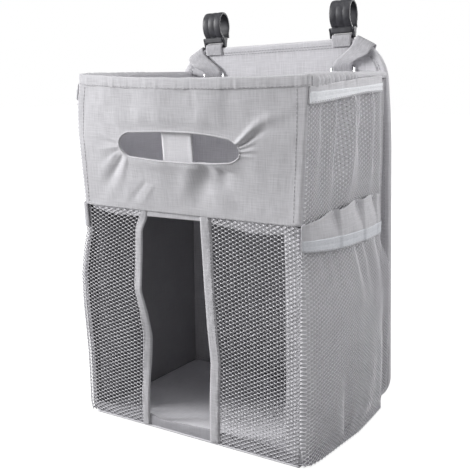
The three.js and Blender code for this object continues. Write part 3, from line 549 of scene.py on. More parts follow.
# Hooks and their loops
LOOP_ROOM = 1.0
LOOP_RISE = 1.0
LOOP_DROP = 9.0
LOOP_STRAIGHT = 5.0
LOOP_TURN_POINTS = 11
HOOK_X = 90.4
HOOK_BAR_HEIGHT = 442.6
HOOK_BAR_RADIUS = 1.5
HOOK_BAR_LAP = 1.0
HOOK_EAR_RADIUS = 2.2
HOOK_EAR_WIDTH = 3.2
HOOK_EAR_ROOM = 0.4
HOOK_EAR_POINTS = 8
HOOK_EAR_LAP = 1.0
HOOK_BASE_DEPTH = 10.0
HOOK_BASE_RISE = 3.7
HOOK_BASE_TOP = 10.2
HOOK_BASE_ROOM = 0.5
HOOK_BASE_CORNER = 1.2
HOOK_SHOULDER = 3.2
HOOK_SHOULDER_ROOM = 0.6
HOOK_SHOULDER_CORNER = 1.0
HOOK_WELD = 2.0
HOOK_LENGTH = 26.0
HOOK_WALL = 3.0
HOOK_BORE_DEPTH = 19.0
HOOK_BORE_HEIGHT = 28.0
HOOK_SETBACK = 3.0
HOOK_BAND_RISE = 0.45
HOOK_BAND_ROUNDNESS = 0.7
HOOK_BANDS = 3
HOOK_FOOT_ANGLE = math.radians(255)
HOOK_LIP_ANGLE = math.radians(-31)
HOOK_LIP_FLARE = math.radians(30)
HOOK_LIP_NECK = 3.0
HOOK_LIP_LENGTH = 4.5
HOOK_VOXEL = 0.38
HOOK_RELAX = 0.5
HOOK_RELAX_ROUNDS = 3

# Stitches, with their profile: share of the length, share of the radius, rise in radii
STITCH_PITCH = 4.2
STITCH_LENGTH = 3.0
STITCH_RADIUS = 0.3
STITCH_SIDES = 6
STITCH_PROFILE = [(-0.5, 0.4, -0.3), (-0.32, 1.0, 0.35), (0.32, 1.0, 0.35), (0.5, 0.4, -0.3)]

# Weaves: pitch of the threads, share of the threads in the tone, depth of the relief
FINE_WEAVE = {"pitch": 0.7, "slub": 0.42, "depth": 0.1}
WARP_STREAK = (1.1, 22.0)
WEFT_STREAK = (26.0, 1.0)
WEAVE_CLOUD = (38.0, 38.0)
WEAVE_CLOUD_SHARE = 0.12
WEAVE_RELIEF = 0.35
WEAVE_RANGE = (0.34, 0.68)
TONE_RANGE = (0.3, 0.7)

# The wall's lining is darkened below the shelf as painted shade, for the shade in the lower compartment: half
# the fade, share of its colour
PAINTED_SHADE_FADE = 0.5
PAINTED_SHADE_SHARE = 0.52

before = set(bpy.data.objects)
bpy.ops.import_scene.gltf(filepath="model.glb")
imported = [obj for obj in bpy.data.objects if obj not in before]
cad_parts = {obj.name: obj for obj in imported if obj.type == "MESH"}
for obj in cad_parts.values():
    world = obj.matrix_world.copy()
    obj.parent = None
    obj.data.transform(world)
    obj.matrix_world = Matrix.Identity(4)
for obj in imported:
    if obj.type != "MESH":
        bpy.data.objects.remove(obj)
packed_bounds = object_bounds()
stitch_parts = []


def box_mm(node):
    """Lowest and highest corner of a CAD node, in millimetres."""
    low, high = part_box(node)
    return np.array(low) / MM, np.array(high) / MM


base_low, base_high = box_mm("base_cover")
hem_low, hem_high = box_mm("rim_hem")
slot_low, slot_high = box_mm("slot_binding")
BACK_LOW, BACK_HIGH = box_mm("back_binding")
HALF_WIDTH = base_high[0]
FRONT_Y = base_low[1]
BACK_Y = base_high[1]
INNER_HALF_WIDTH = box_mm("wall_lining_right")[0][0]
SHELF_HEIGHT = box_mm("front_panel")[0][2]
HEM_BOTTOM = hem_low[2]
RIM_HEIGHT = hem_high[2]
BACK_MIDDLE_Y = (BACK_LOW[1] + BACK_HIGH[1]) / 2
BACK_THICKNESS = BACK_HIGH[1] - BACK_LOW[1]
SLOT_X = (slot_low[0] + slot_high[0]) / 2
SLOT_Z = (slot_low[2] + slot_high[2]) / 2
SLOT_RADIUS = (slot_high[2] - slot_low[2]) / 2 - SLOT_LIP
SLOT_REACH = (slot_high[0] - slot_low[0]) / 2 - SLOT_LIP - SLOT_RADIUS


# Numbers and noise


def smooth(share):
    """Eases from 0 to 1."""
    held = np.clip(share, 0, 1)
    return held * held * (3 - 2 * held)


def mix(low, high, share):
    """Value at a share of the way from low to high."""
    return low + (high - low) * share


def bump(off, spread):
    """Bell that falls from 1 at its middle."""
    return np.exp(-((off / spread) ** 2))


def hump(share, power):
    """Arch over 0 to 1; the smaller the power, the squarer it is."""
    return np.maximum(np.sin(math.pi * np.clip(share, 0, 1)), 0) ** power


def unit(vectors):
    return vectors / np.linalg.norm(vectors, axis=-1, keepdims=True)


def place_at(x, y, z):
    """Points from their three coordinates."""
    return np.stack(np.broadcast_arrays(x, y, z), axis=-1)


def circle(count):
    """Points round a circle of radius 1."""
    turns = np.arange(count) * 2 * math.pi / count
    return np.stack([np.cos(turns), np.sin(turns)], axis=-1)


def grid(sheet, across, along):
    """Two coordinates over a sheet's grid, each from one end to the other."""
    columns, rows = POINTS[sheet]
    return np.meshgrid(np.linspace(*across, columns), np.linspace(*along, rows))


def from_table(table, at, column=1):
    """Value of a table's column at a place in its first column, with slightly rounded bends."""
    keys = [row[0] for row in table]
    values = [row[column] for row in table]
    reach = BEND_REACH * (keys[-1] - keys[0])
    shifts = np.linspace(-reach, reach, BEND_SAMPLES)
    return sum(np.interp(at + shift, keys, values) for shift in shifts) / len(shifts)


def noise(a, b, seed):
    """Smooth noise from -1 to 1 over two coordinates counted in cells."""
    table = np.random.default_rng(seed).uniform(-1, 1, (NOISE_CELLS, NOISE_CELLS))
    a, b = np.broadcast_arrays(np.asarray(a, float), np.asarray(b, float))
    cell_a = np.floor(a).astype(int)
    cell_b = np.floor(b).astype(int)
    share_a = smooth(a - cell_a)
    share_b = smooth(b - cell_b)

    def corner(step_a, step_b):
        return table[(cell_a + step_a) % NOISE_CELLS, (cell_b + step_b) % NOISE_CELLS]

    low = mix(corner(0, 0), corner(1, 0), share_a)
    high = mix(corner(0, 1), corner(1, 1), share_a)
    return mix(low, high, share_b)


def uneven(name, a, b=0.5, side=0):
    """Unevenness of a named piece over one or two coordinates, its own on each side."""
    height, cell, seed = WAVES[name]
    return height * noise(a / cell[0], b / cell[1], seed + side)


def crease(a, b, start, end, widths, height):
    """Ridge or valley that starts sharp at one point and fans out and fades towards another."""
    line = np.subtract(end, start)
    length = np.hypot(*line)
    along = ((a - start[0]) * line[0] + (b - start[1]) * line[1]) / length**2
    off = ((a - start[0]) * line[1] - (b - start[1]) * line[0]) / length
    width = mix(widths[0], widths[1], np.clip(along, 0, 1))
    fade = smooth((along + CREASE_LEAD) / (2 * CREASE_LEAD)) * smooth((CREASE_END - along) / CREASE_FADE)
    return height * bump(off, width) * fade


# Meshes


def grid_quads(index, wrap):
    """Quads over a grid of indices, joined round its first axis where it wraps."""
    rows = np.concatenate([index, index[:1]]) if wrap else index
    corners = [rows[:-1, :-1], rows[:-1, 1:], rows[1:, 1:], rows[1:, :-1]]
    return np.stack(corners, axis=-1).reshape(-1, 4)


def edge_loops(index, wrap):
    """Closed loops of edge indices of a grid, each with the index of the point inside it."""
    if wrap:
        return [(index[:, 0], index[:, 1]), (index[:, -1], index[:, -2])]
    edge = [index[0, :-1], index[:-1, -1], index[-1, :0:-1], index[:0:-1, 0]]
    core = index[1:-1, 1:-1]
    padded = np.pad(core, 1, mode="edge")
    inside = [padded[0, :-1], padded[:-1, -1], padded[-1, :0:-1], padded[:0:-1, 0]]
    return [(np.concatenate(edge), np.concatenate(inside))]


def arc_lengths(points, axis):
    """Lengths along the rows or columns of a grid, or along a path."""
    steps = np.linalg.norm(np.diff(points, axis=axis), axis=-1)
    start = np.zeros_like(np.take(steps, [0], axis=axis))
    return np.concatenate([start, np.cumsum(steps, axis=axis)], axis=axis)


def shell(outer, inner, wrap=False, flat=None):
    """Closed sheet between two grids of points, with a rounded edge and flat cloth coordinates."""
    shape = outer.shape[:2]
    count = shape[0] * shape[1]
    index = np.arange(count).reshape(shape)
    middle = ((outer + inner) / 2).reshape(-1, 3)
    thickness = np.linalg.norm(outer - inner, axis=-1).reshape(-1)
    if flat is None:
        flat = np.stack([arc_lengths(outer, 1), arc_lengths(outer, 0)], axis=-1)
    laid = flat.reshape(-1, 2)
    points = [outer.reshape(-1, 3), inner.reshape(-1, 3)]
    flats = [laid, laid]
    quads = [grid_quads(index, wrap), grid_quads(index + count, wrap)[:, ::-1]]
    total = 2 * count
    for edge, inside in edge_loops(index, wrap):
        out = unit(middle[edge] - middle[inside] + TINY)
        points.append(middle[edge] + EDGE_ROUNDNESS * thickness[edge, None] * out)
        flats.append(laid[edge])
        nose = total + np.arange(len(edge))
        total += len(edge)
        for near, far in ((edge, nose), (nose, edge + count)):
            strip = [near, np.roll(near, -1), np.roll(far, -1), far]
            quads.append(np.stack(strip, axis=-1))
    return np.concatenate(points), np.concatenate(quads), np.concatenate(flats)


def sheet_about(points, thickness):
    """Closed sheet of a thickness about a grid of points."""
    normals = unit(np.cross(np.gradient(points, axis=1), np.gradient(points, axis=0)))
    offset = normals * thickness / 2
    return shell(points + offset, points - offset)


def sweep(section, origins, across, out, closed=False):
    """Solid with an even number of section points, carried along a path."""
    section = np.asarray(section, float)
    if section.ndim == 2:
        section = np.broadcast_to(section, (len(origins),) + section.shape)
    side = section[..., :1] * np.broadcast_to(across, origins.shape)[:, None, :]
    rise = section[..., 1:] * np.broadcast_to(out, origins.shape)[:, None, :]
    points = origins[:, None, :] + side + rise
    rows, count = points.shape[:2]
    index = np.arange(rows * count).reshape(rows, count)
    ring = np.concatenate([index, index[:, :1]], axis=1)
    quads = [grid_quads(ring, closed)]
    if not closed:
        half = count // 2
        for end in (index[0], index[-1]):
            near = [end[: half - 1], end[1:half]]
            far = [end[count - 2 : half - 1 : -1], end[count - 1 : half : -1]]
            quads.append(np.stack(near + far, axis=-1))
    along = arc_lengths(origins, 0)[:, None]
    around = arc_lengths(section, 1)
    flat = np.stack(np.broadcast_arrays(around, along), axis=-1)
    return points.reshape(-1, 3), np.concatenate(quads), flat.reshape(-1, 2)


def rounded_section(width, height, corner, steps=ROUND_STEPS, inner=None):
    """Rounded rectangle about its middle, whose corners on the inner side may be sharper."""
    points = []
    for quarter, (sx, sz) in enumerate(QUARTERS):
        radius = corner if sx > 0 or inner is None else inner
        for k in range(steps + 1):
            turn = QUARTER_TURN * (quarter + k / steps)
            x = sx * (width / 2 - radius) + radius * math.cos(turn)
            z = sz * (height / 2 - radius) + radius * math.sin(turn)
            points.append((x, z))
    return np.array(points)


def ribbon_section(width, thickness):
    """Flat band with soft edges: its outer face, then its inner face."""
    across = np.linspace(width / 2, -width / 2, RIBBON_COLUMNS + 1)
    rise = thickness / 2 * np.minimum(1, EDGE_ROUNDNESS + (width / 2 - abs(across)) / thickness)
    outer = np.stack([across, rise], axis=-1)
    return np.concatenate([outer, (outer * (1, -1))[::-1]])


def join_parts(parts):
    """One list of points, quads and flat coordinates from several."""
    points, quads, flats = [], [], []
    total = 0
    for part_points, part_quads, part_flat in parts:
        points.append(part_points)
        quads.append(part_quads + total)
        flats.append(part_flat)
        total += len(part_points)
    return np.concatenate(points), np.concatenate(quads), np.concatenate(flats)


def leaned(points):
    """Places on the back panel after its upper part has leaned over to the left."""
    x, y, z = points[..., 0], points[..., 1], points[..., 2]
    turn = PANEL_LEAN * smooth((z - LEAN_FOOT_HEIGHT) / (LEAN_FULL_HEIGHT - LEAN_FOOT_HEIGHT))
    rise = z - LEAN_PIVOT_HEIGHT
    across = x * np.cos(turn) - rise * np.sin(turn)
    up = LEAN_PIVOT_HEIGHT + x * np.sin(turn) + rise * np.cos(turn)
    return place_at(across, y, up)


def make_piece(name, part, look, body="caddy", node=None, leans=False):
    """Mesh object of a part that rides on a body and stands for a CAD node, where there is one."""
    points, quads, flat = part
    if leans:
        points = leaned(points)
    mesh = bpy.data.meshes.new(name)
    mesh.from_pydata((points * MM).tolist(), [], quads.tolist())
    laid = np.concatenate([flat * MM, np.zeros((len(flat), 1))], axis=1)
    attribute = mesh.attributes.new("cloth", "FLOAT_VECTOR", "POINT")
    attribute.data.foreach_set("vector", laid.astype(np.float32).ravel())
    editable = bmesh.new()
    editable.from_mesh(mesh)
    bmesh.ops.recalc_face_normals(editable, faces=editable.faces)
    editable.to_mesh(mesh)
    editable.free()
    mesh.polygons.foreach_set("use_smooth", [True] * len(mesh.polygons))
    mesh.materials.append(LOOKS[look])
    piece = bpy.data.objects.new(name, mesh)
    bpy.context.scene.collection.objects.link(piece)
    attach(piece, body)
    if node:
        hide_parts(node)
    return piece


def lay_sheet(name, node, part, look, leans=False):
    """Sheet on the caddy, made as a piece that stands for its CAD node."""
    piece = make_piece(name, part, look, node=node, leans=leans)
    return piece


def stitch_row(path, outward):
    """Thread stitches that lie along a path of points."""
    reach = arc_lengths(path, 0)
    count = max(int(reach[-1] / STITCH_PITCH), 2)
    at = (np.arange(count) + 0.5) * reach[-1] / count

    def along(values, where):
        return np.stack([np.interp(where, reach, values[:, k]) for k in range(3)], axis=-1)

    middle = along(path, at)
    tangent = unit(along(path, at + NUDGE) - along(path, at - NUDGE))
    lift = unit(along(np.broadcast_to(outward, path.shape), at))
    aside = unit(np.cross(tangent, lift))
    section = circle(STITCH_SIDES)
    round_ = aside[:, None] * section[:, :1] + lift[:, None] * section[:, 1:]
    rings = []
    for share, swell, rise in STITCH_PROFILE:
        origin = middle + tangent * share * STITCH_LENGTH + lift * rise * STITCH_RADIUS
        rings.append(origin[:, None] + round_ * swell * STITCH_RADIUS)
    points = np.stack(rings, axis=1)
    index = np.arange(points[..., 0].size).reshape(points.shape[:3])
    loop = np.concatenate([index, index[:, :, :1]], axis=2)
    walls = [loop[:, :-1, :-1], loop[:, :-1, 1:], loop[:, 1:, 1:], loop[:, 1:, :-1]]
    quads = [np.stack(walls, axis=-1).reshape(-1, 4)]
    for end in (index[:, 0], index[:, -1]):
        quads.append(end[:, [0, 1, 2, 3]])
        quads.append(end[:, [0, 3, 4, 5]])
    flat = points.reshape(-1, 3)[:, [0, 2]]
    return points.reshape(-1, 3), np.concatenate(quads), flat


def sew(path, outward):
    """Adds a row of stitches to the seams."""
    stitch_parts.append(stitch_row(path, outward))


def net_layout(width, height, gather):
    """Flat places of a net's knots and of the rims of its holes, and the knots round each hole."""
    mesh_half = np.array([MESH_HALF_WIDTH, MESH_HALF_HEIGHT])
    steps = np.array(MESH_STEPS)
    across = np.arange(1, int(gather * width / MESH_HALF_WIDTH))
    up = np.arange(1, int(height / MESH_HALF_HEIGHT))
    columns, rows = np.meshgrid(across, up)
    chosen = (columns + rows) % 2 == 1
    cells = np.stack([columns[chosen], rows[chosen]], axis=-1)[:, None, :]
    keys = cells * MESH_THIRDS + steps
    stride = MESH_THIRDS * (len(up) + MESH_SPARE_ROWS)
    codes = keys[..., 0] * stride + keys[..., 1]
    unique, around = np.unique(codes, return_inverse=True)
    knots = np.stack([unique // stride, unique % stride], axis=-1) * (mesh_half / MESH_THIRDS)
    turns = np.arctan2(steps[:, 1], steps[:, 0])
    holes = mesh_half * (HOLE_SHARE_ACROSS, HOLE_SHARE_UP)
    rims = cells * mesh_half + holes * np.stack([np.cos(turns), np.sin(turns)], axis=-1)
    fit = np.array([width, height]) / (mesh_half * (len(across) + 1, len(up) + 1))
    return knots * fit, rims.reshape(-1, 2) * fit, around.reshape(codes.shape)


def lone_edges(starts, ends, count):
    """Pairs of knots that only one mesh joins, at the net's edge."""
    low = np.minimum(starts, ends).ravel().astype(np.int64)
    high = np.maximum(starts, ends).ravel()
    edges, uses = np.unique(low * count + high, return_counts=True)
    lone = edges[uses == 1]
    return lone // count, lone % count


def diamond_net(place, width, height, gather=1.0):
    """Knitted net: rhombic meshes with round holes, laid by place(across, up) in its width and height."""
    knots, rims, around = net_layout(width, height, gather)
    count = len(knots)
    across, up = np.concatenate([knots, rims]).T
    middle = place(across, up)
    right = place(across + NUDGE, up) - place(across - NUDGE, up)
    rise = place(across, up + NUDGE) - place(across, up - NUDGE)
    lift = YARN_RISE * unit(np.cross(right, rise))[:count]
    points = np.concatenate([middle[:count] + lift, middle[:count] - lift, middle[count:]])
    flats = np.concatenate([knots, knots, rims])
    hole = 2 * count + np.arange(around.size).reshape(around.shape)
    following = np.roll(around, -1, axis=1)
    next_hole = np.roll(hole, -1, axis=1)
    front = np.stack([around, following, next_hole, hole], axis=-1).reshape(-1, 4)
    rear = np.stack([around, hole, next_hole, following], axis=-1).reshape(-1, 4)
    rear = np.where(rear < 2 * count, rear + count, rear)
    start, end = lone_edges(around, following, count)
    rim = np.stack([start, end, end + count, start + count], axis=-1)
    return points, np.concatenate([front, rear, rim]), flats


# Materials


def put(tree, kind, inputs=(), output=0, **settings):
    """Adds a shader node, sets or joins its inputs, and returns one of its outputs."""
    node = tree.nodes.new("ShaderNode" + kind)
    for key, value in settings.items():
        setattr(node, key, value)
    for key, value in dict(inputs).items():
        if isinstance(value, bpy.types.NodeSocket):
            tree.links.new(value, node.inputs[key])
        else:
            node.inputs[key].default_value = value
    return node.outputs[output]


def calc(tree, operation, a, b=0.0):
    return put(tree, "Math", {0: a, 1: b}, operation=operation)


def times(tree, value, factor):
    return calc(tree, "MULTIPLY", value, factor)


def new_look(name, roughness, specular, sheen=0.0):
    material = bpy.data.materials.new(name)
    material.use_nodes = True
    tree = material.node_tree
    surface = tree.nodes["Principled BSDF"]
    surface.inputs["Roughness"].default_value = roughness
    surface.inputs["Specular IOR Level"].default_value = specular
    surface.inputs["Sheen Weight"].default_value = sheen
    return material, tree, surface


def linear(value):
    """Linear light from an 8-bit sRGB value."""
    share = value / 255
    return share / 12.92 if share <= 0.04045 else ((share + 0.055) / 1.055) ** 2.4


def colour(rgb):
    return tuple(linear(value) for value in rgb) + (1.0,)


def grey(value):
    return (value, value, value, 1.0)


def cloth_axes(tree):
    """Flat cloth coordinates as a vector, and its two parts."""
    flat = put(tree, "Attribute", output="Vector", attribute_name="cloth")
    split = tree.nodes.new("ShaderNodeSeparateXYZ")
    tree.links.new(flat, split.inputs[0])
    return flat, split.outputs[0], split.outputs[1]


def streaks(tree, vector, size):
    """Noise drawn out to a size across and up, in millimetres."""
    scale = (1 / (size[0] * MM), 1 / (size[1] * MM), 1.0)
    scaled = put(tree, "VectorMath", {0: vector, 1: scale}, operation="MULTIPLY")
    return put(tree, "TexNoise", {"Vector": scaled, "Scale": 1.0, "Detail": 2.0, "Roughness": 0.6})


def grain(tree, scale, detail):
    """Noise in the object's own space."""
    place = put(tree, "TexCoord", output="Object")
    return put(tree, "TexNoise", {"Vector": place, "Scale": scale, "Detail": detail})


def ribs(tree, coordinate, pitch):
    """Wave from -1 to 1 along one coordinate."""
    return calc(tree, "SINE", times(tree, coordinate, 2 * math.pi / (pitch * MM)))


def shade(tree, surface, value, dark, light, span=TONE_RANGE):
    """Colours the surface from dark to light by a value."""
    ramp = tree.nodes.new("ShaderNodeValToRGB")
    for element, position, rgb in zip(ramp.color_ramp.elements, span, (dark, light)):
        element.position = position
        element.color = colour(rgb)
    tree.links.new(value, ramp.inputs["Fac"])
    tree.links.new(ramp.outputs["Color"], surface.inputs["Base Color"])


def raise_surface(tree, surface, height, strength, distance):
    inputs = {"Height": height, "Strength": strength, "Distance": distance * MM}
    tree.links.new(put(tree, "Bump", inputs, output="Normal"), surface.inputs["Normal"])


def rough_by(tree, surface, value, least, span):
    """Roughness that rises with a value."""
    rough = calc(tree, "ADD", times(tree, value, span), least)
    tree.links.new(rough, surface.inputs["Roughness"])


def paint_shade_below(tree, surface, height):
    """Painted shade: keeps only a share of the surface's colour below a height, on a piece that stands in the
    part's frame.
    """
    split = tree.nodes.new("ShaderNodeSeparateXYZ")
    tree.links.new(put(tree, "TexCoord", output="Object"), split.inputs[0])
    fade = [(height - PAINTED_SHADE_FADE) * MM, (height + PAINTED_SHADE_FADE) * MM]
    loss = put(tree, "MapRange", {0: split.outputs[2], 1: fade[0], 2: fade[1], 3: 1 - PAINTED_SHADE_SHARE, 4: 0.0})
    plain = surface.inputs["Base Color"].links[0].from_socket
    dim = put(tree, "Mix", {0: loss, 6: plain, 7: grey(0.0)}, 2, data_type="RGBA")
    tree.links.new(dim, surface.inputs["Base Color"])


def woven_look(name, dark, light, pitch=0.9, slub=0.5, depth=0.16, painted_shade_height=None):
    """Plain weave with uneven threads both ways, with painted shade below a height where one is given."""
    material, tree, surface = new_look(name, roughness=0.92, specular=0.12, sheen=0.12)
    flat, across, up = cloth_axes(tree)
    warp = streaks(tree, flat, WARP_STREAK)
    weft = streaks(tree, flat, WEFT_STREAK)
    cloud = streaks(tree, flat, WEAVE_CLOUD)
    threads = times(tree, calc(tree, "ADD", warp, weft), slub)
    tone = calc(tree, "ADD", threads, times(tree, cloud, 1 - 2 * slub + WEAVE_CLOUD_SHARE))
    shade(tree, surface, tone, dark, light, WEAVE_RANGE)
    weave = times(tree, ribs(tree, across, pitch), ribs(tree, up, pitch))
    height = calc(tree, "ADD", times(tree, weave, WEAVE_RELIEF), threads)
    raise_surface(tree, surface, height, strength=0.5, distance=depth)
    if painted_shade_height:
        paint_shade_below(tree, surface, painted_shade_height)
    return material


def webbing_look(name, dark, light, chevron=4.0, pitch=1.1, contrast=0.12):
    """Twill tape with a herringbone across it."""
    material, tree, surface = new_look(name, roughness=0.85, specular=0.2, sheen=0.1)
    flat, across, up = cloth_axes(tree)
    zigzag = calc(tree, "PINGPONG", across, chevron * MM)
    twill = ribs(tree, calc(tree, "ADD", zigzag, up), pitch)
    tone = calc(tree, "ADD", times(tree, twill, contrast), streaks(tree, flat, (1.5, 6.0)))
    shade(tree, surface, tone, dark, light)
    raise_surface(tree, surface, tone, strength=0.4, distance=0.2)
    return material


def elastic_look(name, dark, light, rib_pitch=1.3, knit_pitch=0.8, contrast=0.1, knit_share=0.4):
    """Ribbed elastic tape."""
    material, tree, surface = new_look(name, roughness=0.7, specular=0.25, sheen=0.15)
    flat, across, up = cloth_axes(tree)
    rib = ribs(tree, up, rib_pitch)
    tone = calc(tree, "ADD", times(tree, rib, contrast), streaks(tree, flat, (3.0, 1.2)))
    shade(tree, surface, tone, dark, light)
    height = calc(tree, "ADD", rib, times(tree, ribs(tree, across, knit_pitch), knit_share))
    raise_surface(tree, surface, height, strength=0.35, distance=0.15)
    return material


def yarn_look(name, dark, light, fibre_share=0.6):
    """Knitted yarn: short twisted fibres."""
    material, tree, surface = new_look(name, roughness=0.8, specular=0.2, sheen=0.2)
    flat = cloth_axes(tree)[0]
    fibre = streaks(tree, flat, (0.5, 1.6))
    cloud = streaks(tree, flat, (30.0, 30.0))
    tone = calc(tree, "ADD", times(tree, fibre, fibre_share), times(tree, cloud, 1 - fibre_share))
    shade(tree, surface, tone, dark, light)
    raise_surface(tree, surface, fibre, strength=0.4, distance=0.12)
    return material


def plastic_look(name, dark, light):
    """Moulded plastic with a fine grain and rubbed spots."""
    material, tree, surface = new_look(name, roughness=0.46, specular=0.4)
    rubbed = grain(tree, scale=140.0, detail=4.0)
    shade(tree, surface, rubbed, dark, light)
    rough_by(tree, surface, rubbed, least=0.38, span=0.16)
    raise_surface(tree, surface, grain(tree, scale=2200.0, detail=2.0), strength=0.15, distance=0.06)
    return material


def metal_look(name, dark, light):
    """Plated wire with fine scratches."""
    material, tree, surface = new_look(name, roughness=0.16, specular=0.5)
    surface.inputs["Metallic"].default_value = 1.0
    scratch = grain(tree, scale=900.0, detail=3.0)
    shade(tree, surface, scratch, dark, light)
    rough_by(tree, surface, scratch, least=0.1, span=0.14)
    return material


def board_look(name, dark, light):
    """Grey fibre board."""
    material, tree, surface = new_look(name, roughness=0.9, specular=0.2)
    fibre = grain(tree, scale=500.0, detail=5.0)
    shade(tree, surface, fibre, dark, light)
    raise_surface(tree, surface, fibre, strength=0.2, distance=0.1)
    return material


LOOKS = {
    "linen": woven_look("linen_weave", (186, 185, 189), (215, 214, 218)),
    # Painted shade: the linings are a darker copy of the linen, for the shade inside the compartments, on the
    # sill and in the pocket floors
    "lining": woven_look("lining_weave", (150, 149, 154), (172, 171, 176), **FINE_WEAVE),
    # Painted light: the floors are a paler copy of the lining, for the light that reaches them
    "floor_lining": woven_look("floor_painted_light_cloth", (222, 221, 226), (240, 239, 244), **FINE_WEAVE),
    # Painted shade: the walls' outer cover and the lower pockets' headers are a darker copy of the linen, for
    # the shade behind and under the pockets
    "wall": woven_look("wall_painted_shade_cloth", (168, 167, 171), (200, 199, 203)),
    # Painted shade: the wall's lining darkens below the shelf, for the shade in the lower compartment
    "wall_lining": woven_look(
        "wall_lining_weave_painted_dark_below", (192, 191, 196), (212, 211, 216), **FINE_WEAVE, painted_shade_height=SHELF_HEIGHT
    ),
    # Painted shade: a dark copy of the lining for the folds over the walls' front edges, which sit in shade
    # behind the nets
    "shade": woven_look("edge_painted_shade_cloth", (64, 63, 67), (82, 81, 85), **FINE_WEAVE),
    # Painted light: the strap behind the slot is a paler copy of the fine weave, for the light that falls on
    # it through the slot
    "strip": woven_look("strip_painted_light_cloth", (218, 217, 221), (238, 237, 241), **FINE_WEAVE),
    "binding": woven_look("binding_weave", (164, 163, 167), (206, 205, 209)),
    "pocket_net": yarn_look("pocket_yarn", (212, 211, 215), (240, 239, 243)),
    "net": yarn_look("net_yarn", (200, 199, 203), (232, 231, 235)),
    "elastic": elastic_look("elastic_ribs", (224, 226, 231), (240, 241, 245)),
    # Painted shade: the lower pockets' elastic is a darker copy of the elastic, for the shade it lies in,
    # tilted downwards
    "lower_elastic": elastic_look("lower_elastic_painted_shade_ribs", (194, 196, 202), (211, 213, 219)),
    "webbing": webbing_look("webbing_twill", (164, 163, 167), (190, 189, 193)),
    "thread": yarn_look("stitch_thread", (150, 149, 153), (186, 185, 189)),
    "plastic": plastic_look("hook_plastic", (50, 50, 54), (68, 68, 73)),
    "metal": metal_look("ring_metal", (196, 197, 200), (232, 233, 235)),
    "board": board_look("fibre_board", (160, 154, 142), (190, 185, 174)),
}


# Upper front


def upper_share(z):
    """Share of the way from the shelf to the rim."""
    return (z - SHELF_HEIGHT) / (RIM_HEIGHT - SHELF_HEIGHT)


def front_half_width(z):
    return HALF_WIDTH + RIM_SPLAY * upper_share(z)


def front_arch(x, z):
    """Arch over the width of the front, 1 in the middle and 0 at its corners."""
    return np.cos(QUARTER_TURN * np.minimum(abs(x) / front_half_width(z), 1))


def front_bow(x, z):
    rise = np.clip(upper_share(z), 0, 1)
    depth = mix(FRONT_FOOT_BOW, FRONT_BOW, np.sin(rise * QUARTER_TURN))
    return depth * front_arch(x, z)


def rim_sag(x, z):
    rise = smooth((z - RIM_HEIGHT + RIM_SAG_START) / RIM_SAG_START)
    return RIM_SAG * rise * front_arch(x, z) ** RIM_SAG_ROUNDNESS


def slot_swell(x, z):
    """Cloth that stands out below the slot and falls back above it."""
    total = 0.0
    for way, distance, height in SLOT_SWELLS:
        total = total + height * bump(z - SLOT_Z - way * (SLOT_RADIUS + distance), SLOT_SWELL_SPREAD)
    return total * smooth((SLOT_REACH + SLOT_SWELL_REACH - abs(x - SLOT_X)) / SLOT_SWELL_EASE)


def front_relief(x, z):
    """Creases and soft waves of the upper front, outwards."""
    creases = CREASE_STRENGTH * sum(crease(x, z, *fold) for fold in FRONT_CREASES)
    waves = uneven("front_broad", x, z) + uneven("front_fine", x, z)
    sewn = smooth((front_half_width(z) - abs(x)) / FRONT_SIDE_EASE)
    sewn = sewn * smooth((z - SHELF_HEIGHT) / FRONT_FOOT_EASE) * smooth((RIM_HEIGHT - z) / FRONT_RIM_EASE)
    return (creases + slot_swell(x, z) + waves) * sewn


def slot_shape(x, z):
    """How far the cloth about the slot is drawn up or down."""
    along = (x - SLOT_X) / (SLOT_REACH + SLOT_RADIUS)
    off = (z - SLOT_Z) / SLOT_RADIUS
    near = np.minimum(abs(off), np.exp((1 - abs(off)) * SLOT_DRAW_FADE))
    fade = smooth((SLOT_DRAW_END - abs(along)) / SLOT_DRAW_EASE)
    gape = (from_table(SLOT_GAPE, along) - 1) * SLOT_RADIUS * np.sign(off) * near
    fall = from_table(SLOT_FALL, along) * np.exp(-np.maximum(abs(off) - 1, 0) * SLOT_DRAW_FADE)
    return fade * (gape + fall)


def corner_shift(x, z):
    """How far a place on the front stands aside with the nearer corner."""
    left = from_table(LEFT_CORNER, z) * smooth((-x - CORNER_PULL_START) / CORNER_PULL_EASE)
    right = from_table(RIGHT_CORNER, z) * smooth((x - CORNER_PULL_START) / CORNER_PULL_EASE)
    return left + right


def on_front(x, z, depth):
    """Point at a depth behind the face of the upper front, which turns back round its corners."""
    x, z, depth = np.broadcast_arrays(np.asarray(x, float), z, depth)
    half = front_half_width(z)
    past = np.maximum(abs(x) - half + CORNER_RADIUS, 0)
    turn = np.minimum(past / CORNER_RADIUS, QUARTER_TURN)
    straight = np.maximum(past - CORNER_RADIUS * QUARTER_TURN, 0)
    flat_x = np.minimum(abs(x), half - CORNER_RADIUS)
    wide = flat_x + CORNER_RADIUS * np.sin(turn) - depth * np.sin(turn)
    back = CORNER_RADIUS * (1 - np.cos(turn)) + straight + depth * np.cos(turn)
    y = FRONT_Y - front_bow(x, z) - front_relief(x, z) + back
    up = z - rim_sag(x, z) + slot_shape(x, z)
    aside = corner_shift(x, z) * np.where(x > 0, 1 - turn / QUARTER_TURN, 1)
    return place_at(np.sign(x) * wide + aside, y, up)


